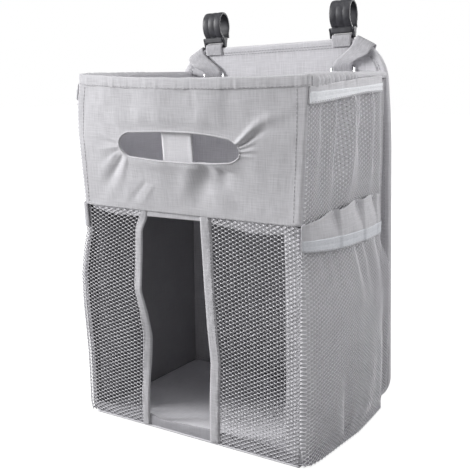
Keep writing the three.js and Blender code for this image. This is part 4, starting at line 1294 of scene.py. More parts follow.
def slot_edge(grow, steps):
    """Slot's outline grown by a width, with the middle and direction from which each point grows."""
    centres, turns = [], []
    for side in (1, -1):
        turn = np.linspace(-QUARTER_TURN, QUARTER_TURN, steps)
        turns.append(turn if side > 0 else turn + math.pi)
        centres.append(np.full(steps, SLOT_X + side * SLOT_REACH))
        turns.append(np.full(steps, side * QUARTER_TURN))
        straight = np.linspace(side * SLOT_REACH, -side * SLOT_REACH, steps + 2)[1:-1]
        centres.append(SLOT_X + straight)
    turn = np.concatenate(turns)
    centre = np.concatenate(centres)
    way = np.stack([np.cos(turn), np.sin(turn)], axis=-1)
    middle = np.stack([centre, np.full_like(centre, SLOT_Z)], axis=-1)
    return middle, way, middle + way * (SLOT_RADIUS + grow)


def reach_of(distance, slope):
    """Steps to an edge along rays that near it at a slope, without end where they don't near it."""
    nearing = slope > TINY
    return np.where(nearing, distance / np.where(nearing, slope, 1), np.inf)


def panel_rays(low, high, margin):
    """Places on the upper front that fan out from the slot to the panel's edges."""
    middle, way, start = slot_edge(margin, FRONT_RAYS)
    splay_slope = RIM_SPLAY / (RIM_HEIGHT - SHELF_HEIGHT)
    wrap = CORNER_RADIUS * (QUARTER_TURN - 1) + CORNER_WRAP
    half = front_half_width(SLOT_Z) + wrap
    side = np.where(way[:, 0] >= 0, 1, -1)
    to_top = reach_of(high - SLOT_Z, way[:, 1])
    to_foot = reach_of(SLOT_Z - low, -way[:, 1])
    to_side = reach_of(half - side * middle[:, 0], side * way[:, 0] - splay_slope * way[:, 1])
    reach = np.minimum(np.minimum(to_top, to_foot), to_side)
    end = middle + way * reach[:, None]
    for corner_z in (low, high):
        for corner_side in SIDES.values():
            corner = np.array([corner_side * (front_half_width(corner_z) + wrap), corner_z])
            end[np.argmin(np.linalg.norm(end - corner, axis=1))] = corner
    share = np.linspace(0, 1, FRONT_RINGS) ** FRONT_CROWDING
    return start[:, None] + (end - start)[:, None] * share[None, :, None]


def build_upper_front():
    places = panel_rays(SHELF_HEIGHT, HEM_BOTTOM + HEM_LAP, SLOT_MARGIN)
    x, z = places[..., 0], places[..., 1]
    for node, look, depth, thickness, rests_on in FRONT_LAYERS:
        sheet = shell(on_front(x, z, depth), on_front(x, z, depth + thickness), True, places)
        lay_sheet(f"{node}_cloth", node, sheet, look)
    build_slot_lip()
    build_rim_hem()
    build_wipes_strap()
    height = np.linspace(SHELF_HEIGHT + SIDE_STITCH_ROOM[0], HEM_BOTTOM - SIDE_STITCH_ROOM[1], SEAM_STEPS)
    inset = mix(*SIDE_STITCH_INSET, upper_share(height))
    for side in SIDES.values():
        sew(on_front(side * (front_half_width(height) - inset), height, 0), FORWARD)


def build_slot_lip():
    """Folded edge of the slot."""
    _, way, edge = slot_edge(SLOT_LIP / 2, LIP_STEPS)
    origin = on_front(edge[:, 0], edge[:, 1], (CLOTH + LINING) / 2)
    across = place_at(way[:, 0], 0, way[:, 1])
    lip = sweep(circle(LIP_SIDES) * LIP_RADII, origin, across, FORWARD, True)
    lay_sheet("slot_fold", "slot_binding", lip, "linen")


def build_rim_hem():
    """Rolled hem along the rim and round its corners, drawn up by its stitches."""
    reach = front_half_width(RIM_HEIGHT) + CORNER_RADIUS * (QUARTER_TURN - 1) + HEM_RETURN
    x = np.linspace(-reach, reach, HEM_STEPS)
    origin = on_front(x, RIM_HEIGHT, 0)
    run = arc_lengths(origin, 0)[:, None]
    out = unit(np.cross(unit(np.gradient(origin, axis=0)), UP))
    height = RIM_HEIGHT - HEM_BOTTOM + HEM_GROWTH
    section = np.repeat(rounded_section(height, HEM_THICKNESS, HEM_CORNER)[None], len(x), axis=0)
    low = smooth(HEM_PUCKER_END - section[..., 0] / height)
    pucker = uneven("hem_pucker", run) + uneven("hem_fold", run)
    section[..., 1] += pucker * low * np.sign(section[..., 1])
    section[..., 0] += uneven("hem_rise", run)
    up = np.array(UP)
    hem = sweep(section, origin - up * height / 2 - out * HEM_SINK, up, out)
    lay_sheet("rim_hem_roll", "rim_hem", hem, "linen")
    sew(origin - up * (height - HEM_STITCH_RISE) + out * HEM_STITCH_STAND, out)


def build_wipes_strap():
    """Strap behind the slot, with a hem along both edges."""
    node = "wipes_strap"
    low, high = box_mm(node)
    x, z = grid(node, (low[0], high[0]), (low[2], HEM_BOTTOM))
    rise = (z - low[2]) / (HEM_BOTTOM - low[2])
    slack = STRIP_STAND + STRIP_SLACK * np.sin(math.pi * rise)
    hem = STRIP_HEM_RISE * bump(abs(x - (low[0] + high[0]) / 2) - STRIP_HEM_PLACE, STRIP_HEM_SPREAD)
    y = FRONT_Y - front_bow(x, z) + slack - hem
    strip = sheet_about(place_at(x, y, z - rim_sag(x, z)), TAPE)
    # Painted light: the strap takes the paler strip cloth
    lay_sheet(f"{node}_cloth", node, strip, "strip")


# Lower front


def front_net_y(x, z, table):
    """Depth of the netted front: it takes the slack of its bound edge and rounds off at the corner."""
    edge = from_table(table, z)
    slack = from_table(table, z, 2) * np.exp(-abs(x - edge) / NET_SLACK_REACH)
    sewn = smooth((z - NET_SEAM) / NET_FOOT_EASE) * smooth((SHELF_HEIGHT - z) / NET_TOP_EASE + 0.5)
    waves = uneven("net", x, z) * sewn * smooth((HALF_WIDTH - abs(x)) / NET_SIDE_EASE)
    corner = np.clip(abs(x) - HALF_WIDTH + NET_CORNER, 0, NET_CORNER)
    rounded = NET_CORNER - np.sqrt(NET_CORNER**2 - corner**2)
    return FRONT_Y + NET_STAND - slack - waves + rounded


def on_net(x, z, table, depth):
    """Point at a depth behind the netted front."""
    aside = corner_shift(x, z) * smooth((HALF_WIDTH - x) / NET_CORNER)
    return place_at(x + aside, front_net_y(x, z, table) + depth, z)


def build_front_net(name, side, table):
    foot = base_low[2] + NET_FOOT
    height = SHELF_HEIGHT - foot
    corner = side * (HALF_WIDTH - NET_CORNER_ROOM)
    lap = side * (BINDING_WIDTH[name] - NET_LAP)
    width = abs(corner - from_table(table, SHELF_HEIGHT / 2) - lap)

    def place(across, up):
        z = foot + up
        inner = from_table(table, z) + lap
        return on_net(corner + (inner - corner) * across / width, z, table, 0)

    net = diamond_net(place, width, height)
    piece = make_piece(f"front_net_{name}_yarn", net, "net", node=f"front_net_{name}")
    facing = build_corner_facing(name, side, table)


def build_corner_facing(name, side, table):
    """Facing sewn behind the net along the corner."""
    share, z = grid("facing", (0, 1), (EDGE_FOOT, SHELF_HEIGHT - EDGE_ROOM))
    wander = uneven("facing", z) if side > 0 else 0
    x = side * (HALF_WIDTH - FACING_INSET - share * (FACING_WIDTH[name] + wander))
    facing = sheet_about(on_net(x, z, table, FACING_DEPTH), THIN_CLOTH)
    return lay_sheet(f"corner_facing_{name}", None, facing, "net")


def build_gap_binding(name, side, table):
    """Folded cloth edge of the netted front, along the gap."""
    width = BINDING_WIDTH[name]
    share, z = grid("gap_binding", (0, 1), (BINDING_FOOT, SHELF_HEIGHT + BINDING_TOP_LAP))
    x = from_table(table, z) + side * share * width
    y = front_net_y(x, z, table)
    fold = BINDING_PROUD * (1 - (2 * share - 1) ** BINDING_SQUARENESS) + BINDING_EDGE
    pucker = (uneven("binding_pucker", z, share) + uneven("binding_fold", z, share)) * share
    outer = place_at(x, y - fold - pucker, z)
    inner = place_at(x, y + fold - pucker, z)
    binding = shell(outer, inner, False, np.stack([share * width, z], axis=-1))
    node = f"gap_binding_{name}"
    lay_sheet(f"{node}_fold", node, binding, "binding")
    sew(outer[:, BINDING_STITCH_COLUMN], FORWARD)


def build_sill():
    low, _ = box_mm("front_sill")
    end = HALF_WIDTH - SILL_END_ROOM
    x, share = grid("sill", (-end, end), (0, 1))
    roll = SILL_ROLL * np.sin(math.pi * share) + uneven("sill", x, share)
    y = low[1] + SILL_THICKNESS / 2 - roll * SILL_ROLL_SHARE
    sill = sheet_about(place_at(x, y, mix(low[2], from_table(SILL_TOP, x), share)), SILL_THICKNESS)
    # Painted shade: the sill takes the darker lining colour
    lay_sheet("front_sill_roll", "front_sill", sill, "lining")


def build_shelf_hem():
    low, high = box_mm("shelf_hem")
    x, share = grid("shelf_hem", (low[0], high[0]), (0, 1))
    y = (low[1] + high[1]) / 2 + uneven("shelf_hem", x, share)
    hem = sheet_about(place_at(x, y, mix(from_table(SHELF_HEM_EDGE, x), high[2], share)), LINING)
    lay_sheet("shelf_hem_fold", "shelf_hem", hem, "linen")


def build_lower_front():
    for name, side in SIDES.items():
        build_front_net(name, side, GAP_EDGES[name])
        build_gap_binding(name, side, GAP_EDGES[name])
    build_sill()
    build_shelf_hem()


# Base, shelf and walls


def slab(low, high, swell, seed):
    """Sheet lying level between two corners, slightly uneven."""
    x, y = grid("slab", (low[0], high[0]), (low[1], high[1]))
    inside = 1.0
    for places, axis in ((x, 0), (y, 1)):
        inside = inside * smooth((places - low[axis]) / SLAB_EASE) * smooth((high[axis] - places) / SLAB_EASE)
    rise = swell * noise(x / SLAB_CELL, y / SLAB_CELL, seed) * inside
    return shell(place_at(x, y, high[2] + rise), place_at(x, y, low[2] + np.minimum(rise, 0)))


def build_base_and_shelf():
    for node, look, slot, rests_on, swell, seed in SLABS:
        low, high = box_mm(node)
        sheet = slab(low, high, swell, seed)
        lay_sheet(f"{node}_cloth", node, sheet, look)


def splay(y, z):
    """How far the side walls lean out towards the front corners of the rim."""
    share = np.clip((y - FRONT_Y) / (BACK_Y - FRONT_Y), 0, 1)
    return RIM_SPLAY * np.clip(upper_share(z), 0, 1) * (1 - share) ** 2


def wall_bulge(y, z, side):
    """How far the left wall stands out towards the front corner."""
    if side > 0:
        return 0.0
    return -from_table(LEFT_CORNER, z) * smooth((-BULGE_REACH - y) / BULGE_REACH)


def build_wall_cover(name, side):
    node = f"wall_cover_{name}"
    low, high = box_mm(node)
    y, z = grid("wall", (FRONT_Y + WALL_FRONT_ROOM, high[1]), (low[2], high[2]))
    rough = uneven("wall", y, z) * smooth((z - WALL_SEAM) / WALL_EASE)
    x = HALF_WIDTH + splay(y, z) + rough + wall_bulge(y, z, side)
    cover = shell(place_at(side * x, y, z), place_at(side * (x - CLOTH), y, z))
    # Painted shade: the cover takes the darker wall cloth
    lay_sheet(f"{node}_cloth", node, cover, "wall")


def build_wall_lining(name, side):
    node = f"wall_lining_{name}"
    low, high = box_mm(node)
    y, z = grid("wall_lining", (low[1], high[1]), (low[2], high[2]))
    x = INNER_HALF_WIDTH - abs(uneven("wall_lining", y, z)) * smooth((z - WALL_SEAM) / WALL_EASE)
    lining = shell(place_at(side * (x + LINING), y, z), place_at(side * x, y, z))
    lay_sheet(f"{node}_cloth", node, lining, "wall_lining")


def build_wall_edge(name, side):
    """Fold that closes the lower wall's front edge over its board, dark as painted shade behind the net."""
    share, z = grid("wall_edge", (0, 1), (EDGE_FOOT, SHELF_HEIGHT - EDGE_ROOM))
    y = box_mm(f"wall_board_{name}")[0][1] - WALL_EDGE_STAND
    outer_x = HALF_WIDTH - WALL_EDGE_ROOM[1] + wall_bulge(y, z, side)
    x = mix(INNER_HALF_WIDTH + WALL_EDGE_ROOM[0], outer_x, share)
    fold = sheet_about(place_at(side * x, y, z), THIN_CLOTH)
    lay_sheet(f"wall_edge_{name}", None, fold, "shade")


def casing_fold(run, y):
    """Casing before it is gathered: places across and up, share of its turn, share of its height."""
    top = RIM_HEIGHT - CASING_TOP_ROOM
    foot = HEM_BOTTOM + mix(*CASING_FOOT, smooth((y - CASING_FOOT_START) / CASING_FOOT_EASE))
    inner_x = INNER_HALF_WIDTH - CASING_INNER_STAND
    outer_x = HALF_WIDTH + CASING_OUTER_STAND + splay(y, RIM_HEIGHT)
    straight = top - CASING_CROWN - foot
    arch = math.pi * CASING_ARCH_RADIUS
    at = run * (2 * straight + arch)
    over = np.clip((at - straight) / arch, 0, 1)
    x = mix(inner_x, outer_x, (1 - np.cos(math.pi * over)) / 2)
    rise = np.clip(at, 0, straight) - np.clip(at - straight - arch, 0, straight)
    z = foot + rise + CASING_CROWN * np.sin(math.pi * over)
    return x, z, over, (z - foot) / (top - foot)


def build_rim_casing(name, side):
    """Casing over the wall's top edge, gathered on its elastic towards the front."""
    run, y = grid("casing", (0, 1), (FRONT_Y + CASING_FRONT_ROOM, BACK_Y - CASING_BACK_ROOM))
    x, z, over, height = casing_fold(run, y)
    gather = smooth((GATHER_END - y) / GATHER_END_EASE)
    gather = gather * smooth((y - FRONT_Y - GATHER_START) / GATHER_START_EASE)
    phase = y / GATHER_PITCH + uneven("gather_place", y, side=side)
    ridge = abs(np.sin(math.pi * phase)) ** GATHER_SHARPNESS - GATHER_LEVEL
    swell = GATHER_HEIGHT * (GATHER_MEAN + uneven("gather_height", y, run)) * ridge
    held = mix(GATHER_HELD, 1, hump(height, GATHER_SHARPNESS))
    bulge = gather * (swell + GATHER_STAND * GATHER_HEIGHT) * held + uneven("casing", y, run)
    x = x + bulge * smooth((over - GATHER_OVER[0]) / GATHER_OVER[1])
    z = z + GATHER_LIFT * gather * swell * np.sin(math.pi * over)
    points = place_at(side * x, y, z)
    node = f"rim_casing_{name}"
    casing = sheet_about(points, GATHERED_CLOTH)
    lay_sheet(f"{node}_gathers", node, casing, "linen")
    stand, rise = CASING_STITCH_STAND
    sew(points[:, -2] + (side * stand, 0, rise), (side, 0, 0))


def build_rim_elastic(name):
    node = f"rim_elastic_{name}"
    low, high = box_mm(node)
    x, y = grid("rim_elastic", (low[0], high[0]), (RIM_ELASTIC_START, high[1]))
    band = sheet_about(place_at(x, y, (low[2] + high[2]) / 2), TAPE)
    lay_sheet(f"{node}_band", node, band, "elastic")


def build_wall(name, side):
    build_wall_cover(name, side)
    build_wall_lining(name, side)
    build_wall_edge(name, side)
    build_rim_casing(name, side)
    build_rim_elastic(name)


# Side pockets


def pocket_tucks(u, pocket):
    """Tucks of a header, each of which stands off at its front end and falls back towards the wall."""
    total = 0.0
    for start, end in zip(pocket["tucks"][:-1], pocket["tucks"][1:]):
        share = np.clip((u - start) / (end - start), 0, 1)
        inside = smooth((u - start) / TUCK_EDGE + 0.5) * smooth((end - u) / TUCK_EDGE + 0.5)
        total = total - pocket["tuck_depth"] * share**2 * inside
    return total


def pocket_folds(u, v, pocket):
    total = 0.0
    for start, end, width, height in pocket["folds"]:
        total = total + crease(u, v, start, end, (width, width * FOLD_FAN), height)
    return total


def pocket_run(u, v, pocket):
    """Share of the way along the wall and place along it, after the turn round the front corner."""
    turn = pocket["turn"]
    along = np.clip((u - turn) / (1 - turn), 0, 1)
    drawn = smooth((v - MOUTH_DRAW_START) / (1 - MOUTH_DRAW_START))
    return along, mix(pocket["front"], mix(pocket["back"], pocket["mouth_back"], drawn), along)


def corner_reach(u, z, pocket):
    """How far a place lies round the front corner from the wall."""
    if not pocket["turn"]:
        return 0.0
    return from_table(POCKET_WRAP, z) * np.clip(1 - u / pocket["turn"], 0, 1)


def beside_wall(x, y, z, pocket, side):
    """Point beside a side wall, carried by its lean."""
    if pocket["splays"]:
        x = x + splay(y, z)
    return place_at(side * (x + wall_bulge(y, z, side)), y, z)


def pocket_fullness(along, v, pocket, side):
    """How far a pocket's net stands off the wall."""
    power = mix(*BELLY_FULLNESS, smooth(v / BELLY_FULLNESS_END))
    fullness = hump(np.clip(v, 0, 1) ** BELLY_DROP, power)
    belly = pocket["belly"] * fullness * hump(along, BELLY_ROUNDNESS[side])
    mouth = pocket["mouth"] * np.clip(v, 0, 1) * hump(along, MOUTH_ROUNDNESS)
    loose = smooth(along / POCKET_SIDE_EASE) * smooth((1 - along) / POCKET_SIDE_EASE)
    loose = loose * smooth(v / POCKET_FOOT_EASE)
    shift = LEFT_FOLD_SHIFT if side < 0 else 0.0
    relief = pocket_folds(along + shift, v, pocket) + uneven("pocket", along, v, side)
    full = np.maximum(belly + mouth + loose * relief, 0)
    if side > 0 and pocket["turn"]:
        full = mix(from_table(POCKET_FOOT, along), full, smooth(v / FOOT_BLEND))
    return full


def pocket_point(u, v, z, pocket, side):
    """Point on a pocket's net: u runs from front to back, v from its foot to its mouth."""
    along, y = pocket_run(u, v, pocket)
    full = pocket_fullness(along, v, pocket, side)
    hold = pocket["hold"] * smooth((along - HOLD_START) / (1 - HOLD_START))
    hold = hold * smooth((1 - v) / HOLD_TOP_EASE) * smooth(v / HOLD_FOOT_EASE)
    stand = (full**HOLD_SHARPNESS + hold**HOLD_SHARPNESS) ** (1 / HOLD_SHARPNESS)
    x = HALF_WIDTH + POCKET_STAND + stand - corner_reach(u, z, pocket)
    return beside_wall(x, y, z, pocket, side)


def build_pocket_net(level, pocket, name, side):
    depth = pocket["back"] - pocket["front"]
    height = pocket["net_top"][0][1] - pocket["foot"]

    def place(across, up):
        u = across / depth if side > 0 else 1 - across / depth
        v = up / height
        z = mix(pocket["foot"], from_table(pocket["net_top"], u), v)
        return pocket_point(u, v, z, pocket, side)

    node = f"{level}_pocket_net_{name}"
    net = diamond_net(place, depth, height, NET_GATHER)
    lay_sheet(f"{node}_yarn", node, net, "pocket_net")


def build_pocket_floor(pocket, name, side):
    """Cloth that closes the pocket's foot."""
    u, share = grid("pocket_floor", FLOOR_ENDS, (0, 1))
    edge = pocket_point(mix(pocket["turn"], 1, u), FLOOR_SHARE, pocket["foot"] + FLOOR_RISE, pocket, side)
    wall = edge.copy()
    wall[..., 0] = side * (HALF_WIDTH - FLOOR_LAP)
    floor = sheet_about(mix(wall, edge, share[..., None]), FLOOR_THICKNESS)
    lay_sheet(f"pocket_floor_{name}", None, floor, "lining")


def header_surface(u, z, v, pocket, side):
    """Point on a pocket's cloth header; v runs from the net to its free edge."""
    along, y = pocket_run(u, 1.0, pocket)
    held = smooth(along / HEADER_SIDE_EASE) * smooth((1 - along) / HEADER_SIDE_EASE)
    shift = LEFT_TUCK_SHIFT if side < 0 else 0.0
    depth = mix(TUCK_LEAST, 1.0, smooth((v - TUCK_START) / (1 - TUCK_START)))
    pleat = pocket_tucks(along + shift, pocket) * depth
    lean = pocket["lean"] * smooth((v - LEAN_START) / (1 - LEAN_START))
    swell = hump(along, HEADER_ROUNDNESS) * (pleat - lean + uneven("header", along, v, side))
    mouth = pocket["mouth"] * hump(along, MOUTH_ROUNDNESS)
    stand = np.maximum(mouth + mix(HEADER_SEWN_LIFT, HEADER_LIFT, held) + swell, 0)
    x = HALF_WIDTH + MOUTH_STAND + stand - corner_reach(u, z, pocket)
    return beside_wall(x, y, z, pocket, side)


def band_start(pocket, side):
    """Where a pocket's header and elastic begin: round the corner on the left, beside it on the right."""
    return pocket["turn"] if side > 0 else 0.0


def build_pocket_header(level, pocket, name, side):
    u, v = grid("header", (band_start(pocket, side), 1), (0, 1))
    net_top = from_table(pocket["net_top"], u)
    wave = SCALLOP_SHARE * np.sin(2 * math.pi * SCALLOP_WAVES * u) + uneven("scallop", u, side=side)
    top = from_table(pocket["header_top"], u) + pocket["scallop"] * wave * hump(u, SCALLOP_ROUNDNESS)
    points = header_surface(u, mix(net_top - HEADER_LAP, top, v), v, pocket, side)
    node = f"{level}_pocket_header_{name}"
    header = sheet_about(points, GATHERED_CLOTH)
    lay_sheet(f"{node}_cloth", node, header, pocket["header_look"])


def build_pocket_elastic(level, pocket, name, side):
    """Elastic with a groove along its middle, sewn on the header."""
    u, v = grid("elastic", (band_start(pocket, side), 1), (0, 1))
    net_top = from_table(pocket["net_top"], u)
    z = mix(net_top - ELASTIC_LAP, from_table(pocket["band_top"], u), v)
    share = np.clip((z - net_top + HEADER_LAP) / ELASTIC_SPAN, 0, TUCK_START)
    middle = header_surface(u, z, share, pocket, side)
    groove = ELASTIC_GROOVE * bump(v - ELASTIC_GROOVE_PLACE, ELASTIC_GROOVE_SPREAD)
    rise = ELASTIC_OUTER + ELASTIC_RISE - groove + uneven("elastic", u, v)
    outer = middle + place_at(side * rise, 0, 0)
    inner = middle + (side * ELASTIC_INNER, 0, 0)
    node = f"{level}_pocket_elastic_{name}"
    band = shell(outer, inner)
    lay_sheet(f"{node}_band", node, band, pocket["elastic_look"])
    sew(outer[1], (side, 0, 0))


def build_pockets(name, side):
    for level, pocket in POCKETS.items():
        build_pocket_net(level, pocket, name, side)
        if pocket["turn"]:
            build_pocket_floor(pocket, name, side)
        build_pocket_header(level, pocket, name, side)
        build_pocket_elastic(level, pocket, name, side)


# Back panel


def back_outline(inset):
    """Rounded outline of the back panel, inset, as points across and up with their outward directions."""
    points, ways = [], []
    foot = (BACK_FOOT_HALF_WIDTH, BACK_LOW[2], BACK_FOOT_RADIUS)
    top = (BACK_TOP_HALF_WIDTH, BACK_HEIGHT, BACK_TOP_RADIUS)
    corners = [(*foot, 1, -1), (*top, 1, 1), (*top, -1, 1), (*foot, -1, -1)]
    for quarter, (half, edge, radius, sx, sz) in enumerate(corners):
        turn = QUARTER_TURN * (quarter - 1 + np.linspace(0, 1, BACK_ARC_STEPS))
        way = np.stack([np.cos(turn), np.sin(turn)], axis=-1)
        centre = np.array([sx * (half - radius), edge - sz * radius])
        points.append(centre + way * (radius - inset))
        ways.append(way)
    points = np.concatenate(points)
    ways = np.concatenate(ways)
    loop = np.concatenate([points, points[:1]])
    reach = arc_lengths(loop, 0)
    at = np.linspace(0, reach[-1], BACK_STEPS, endpoint=False)
    turn = np.unwrap(np.arctan2(ways[:, 1], ways[:, 0]))
    turn = np.concatenate([turn, [turn[0] + 2 * math.pi]])
    across = np.interp(at, reach, loop[:, 0])
    up = np.interp(at, reach, loop[:, 1])
    angle = np.interp(at, reach, turn)
    return np.stack([across, up], axis=-1), np.stack([np.cos(angle), np.sin(angle)], axis=-1)


def back_half_width(z, inset):
    """Half width of the back panel's inset outline at a height."""
    foot, top = BACK_LOW[2] + inset, BACK_HEIGHT - inset
    foot_half, top_half = BACK_FOOT_HALF_WIDTH - inset, BACK_TOP_HALF_WIDTH - inset
    foot_radius, top_radius = BACK_FOOT_RADIUS - inset, BACK_TOP_RADIUS - inset
    share = (z - foot - foot_radius) / (top - top_radius - foot - foot_radius)
    straight = mix(foot_half, top_half, np.clip(share, 0, 1))
    low = np.clip((foot + foot_radius - z) / foot_radius, 0, 1)
    high = np.clip((z - top + top_radius) / top_radius, 0, 1)
    cut_low = foot_radius * (1 - np.sqrt(1 - low**2))
    cut_high = top_radius * (1 - np.sqrt(1 - high**2))
    return straight - cut_low - cut_high


def build_back_cover(node, way):
    """Cloth on the front or rear of the back panel, slightly puffed."""
    low, high = box_mm(node)
    inset = BACK_BINDING_WIDTH - BACK_BINDING_LAP
    rows = (1 - np.cos(np.linspace(0, math.pi, BACK_ROWS))) / 2
    heights = mix(BACK_LOW[2] + inset, BACK_HEIGHT - inset, rows)
    half = back_half_width(heights, inset)[:, None]
    share, z = np.meshgrid(np.linspace(-1, 1, BACK_COLUMNS), heights)
    x = share * half
    edge = np.minimum(np.minimum(half - abs(x), z - heights[0]), heights[-1] - z)
    puff = BACK_PUFF * smooth(edge / BACK_PUFF_EASE) * (BACK_PUFF_MEAN + uneven("back", x, z))
    face = (low[1] if way < 0 else high[1]) + way * (puff - BACK_SINK)
    outer = place_at(x, face, z)
    inner = place_at(x, face - way * CLOTH, z)
    cover = shell(outer, inner, False, np.stack([x, z], axis=-1))
    lay_sheet(f"{node}_cloth", node, cover, "linen", True)


def build_back_binding():
    middle, way = back_outline(BACK_BINDING_WIDTH / 2)
    run = arc_lengths(middle, 0)[:, None]
    origin = place_at(middle[:, 0], BACK_MIDDLE_Y, middle[:, 1])
    across = place_at(way[:, 0], 0, way[:, 1])
    thickness = BACK_THICKNESS + BACK_BINDING_GROWTH
    corners = (BACK_BINDING_CORNER, BACK_BINDING_STEPS, BACK_BINDING_INNER_CORNER)
    outline = rounded_section(BACK_BINDING_WIDTH, thickness, *corners)
    section = np.repeat(outline[None], len(run), axis=0)
    section[..., 1] *= 1 + uneven("back_binding", run, section[..., 0])
    section[..., 1] *= mix(BACK_BINDING_TAPER, 1.0, smooth(section[..., 0] / BACK_BINDING_WIDTH + 0.5))
    binding = sweep(section, origin, across, FORWARD, True)
    node = "back_binding"
    lay_sheet(f"{node}_roll", node, binding, "linen", leans=True)
    for inset, face in BACK_STITCHES:
        line, _ = back_outline(inset)
        path = leaned(place_at(line[:, 0], BACK_MIDDLE_Y + face * thickness / 2, line[:, 1]))
        sew(np.concatenate([path, path[:1]]), (0, face, 0))


def build_back_panel():
    build_back_cover("back_front_cover", -1)
    build_back_cover("back_rear_cover", 1)
    build_back_binding()


# Straps and rings


def smooth_run(points, count):
    """Smooth run through a list of points."""
    points = np.asarray(points, float)
    reach = arc_lengths(points, 0)
    tangent = np.gradient(points, reach, axis=0)
    at = np.linspace(0, reach[-1], count)
    piece = np.clip(np.searchsorted(reach, at, side="right") - 1, 0, len(points) - 2)
    step = (reach[piece + 1] - reach[piece])[:, None]
    share = ((at - reach[piece]) / step[:, 0])[:, None]
    start = points[piece] * (2 * share**3 - 3 * share**2 + 1)
    leave = tangent[piece] * step * (share**3 - 2 * share**2 + share)
    end = points[piece + 1] * (3 * share**2 - 2 * share**3)
    arrive = tangent[piece + 1] * step * (share**3 - share**2)
    return start + leave + end + arrive


def strap_stations():
    """Right strap's centre and cross direction from its foot inside the panel to its tail behind it."""
    shoulder = np.array([BACK_TOP_HALF_WIDTH - BACK_TOP_RADIUS, 0, BACK_HEIGHT - BACK_TOP_RADIUS])
    radial = np.array([math.sin(STRAP_LEAN), 0, math.cos(STRAP_LEAN)])
    leaning = np.array([math.cos(STRAP_LEAN), 0, -math.sin(STRAP_LEAN)])
    level = np.array(RIGHT)

    def on_panel(radius, y):
        point = shoulder + radial * radius
        return np.array([point[0], y, point[2]])

    face = BACK_Y - STRAP_STAND
    route = [(face, drop) for drop in STRAP_FOOT_DROPS]
    route += [(RING_Y - stand, drop) for stand, drop in STRAP_AT_RING]
    rows = [((RING_X, y, RING_BAR_HEIGHT - drop), level) for y, drop in route]
    start = np.array([RING_X, RING_Y - STRAP_RISE_STAND, RING_BAR_HEIGHT + STRAP_RISE])
    end = on_panel(STRAP_END_RADIUS, face - STRAP_END_STAND)
    for share in STRAP_SHARES:
        lift = math.sin(math.pi * share)
        place = mix(start, end, share) - np.array([0, STRAP_BULGE * lift, 0])
        place[0] = mix(start[0], end[0], mix(share, smooth(share), STRAP_EASE))
        twisted = mix(level, leaning, share) - np.array([0, STRAP_TWIST * lift, 0])
        rows.append((place, unit(twisted)))
    radius = BACK_THICKNESS / 2 + STRAP_TURN_ROOM
    for turn in np.linspace(STRAP_TURN_START, math.pi, STRAP_TURN_POINTS):
        out = BACK_TOP_RADIUS - STRAP_TURN_SINK + radius * math.sin(turn)
        rows.append((on_panel(out, BACK_MIDDLE_Y - radius * math.cos(turn)), leaning))
    for tail in STRAP_TAIL_RADII:
        rows.append((on_panel(tail, BACK_MIDDLE_Y + radius), leaning))
    return np.array([row[0] for row in rows]), np.array([row[1] for row in rows])


def webbing_band(centres, across_rows, count):
    """Webbing along a smooth run."""
    centre = smooth_run(centres, count)
    keys = arc_lengths(centres, 0)
    at = np.linspace(0, keys[-1], count)
    across = unit(np.stack([np.interp(at, keys, across_rows[:, k]) for k in range(3)], axis=-1))
    out = unit(np.cross(across, unit(np.gradient(centre, axis=0))))
    return sweep(ribbon_section(STRAP_WIDTH, TAPE), centre, across, out)


def build_strap(name, side):
    centres, across = strap_stations()
    points, quads, laid = webbing_band(centres, across, STRAP_STEPS)
    strap = (points * (side, 1, 1), quads, laid)
    node = f"strap_{name}"
    lay_sheet(f"{node}_webbing", node, strap, "webbing", leans=True)


def build_ring(name, side):
    """Rounded rectangle of plated wire, hanging by its upper bar."""
    reach_x = (RING_WIDTH - RING_WIRE) / 2 - RING_CORNER
    reach_z = (RING_HEIGHT - RING_WIRE) / 2 - RING_CORNER
    middle_z = -(RING_HEIGHT - RING_WIRE) / 2
    places, outs = [], []
    for quarter, (sx, sz) in enumerate(QUARTERS):
        for turn in QUARTER_TURN * (quarter + np.linspace(0, 1, RING_CORNER_POINTS)):
            out = np.array([math.cos(turn), 0, math.sin(turn)])
            places.append(np.array([sx * reach_x, 0, middle_z + sz * reach_z]) + RING_CORNER * out)
            outs.append(out)
    tilt = math.asin(RING_FORWARD / (RING_HEIGHT - RING_WIRE))
    turned = np.array(Matrix.Rotation(-tilt, 3, "X"))
    hinge = np.array([side * RING_X, RING_Y, RING_BAR_HEIGHT])
    origin = np.array(places) @ turned.T + hinge
    out = np.array(outs) @ turned.T
    section = circle(WIRE_SIDES) * RING_WIRE / 2
    ring = sweep(section, origin, turned @ np.array(BACKWARD), out, True)
    node = f"ring_{name}"
    make_piece(f"{node}_wire", ring, "metal", node, node, True)


# Hooks


def build_hook_loop(name, side):
    """Webbing folded over the panel's top edge and round the hook's bar."""
    radius = BACK_THICKNESS / 2 + LOOP_ROOM
    foot = BACK_HEIGHT - LOOP_DROP
    route = [(-radius, foot), (-radius, foot + LOOP_STRAIGHT)]
    for turn in np.linspace(0, math.pi, LOOP_TURN_POINTS):
        route.append((-radius * math.cos(turn), BACK_HEIGHT + LOOP_RISE + radius * math.sin(turn)))
    route += [(radius, foot + LOOP_STRAIGHT), (radius, foot)]
    depth, height = np.array(route).T
    centres = place_at(side * HOOK_X, BACK_MIDDLE_Y + depth, height)
    loop = webbing_band(centres, np.broadcast_to(RIGHT, centres.shape), LOOP_STEPS)
    node = f"hook_loop_{name}"
    lay_sheet(f"{node}_webbing", node, loop, "webbing", leans=True)


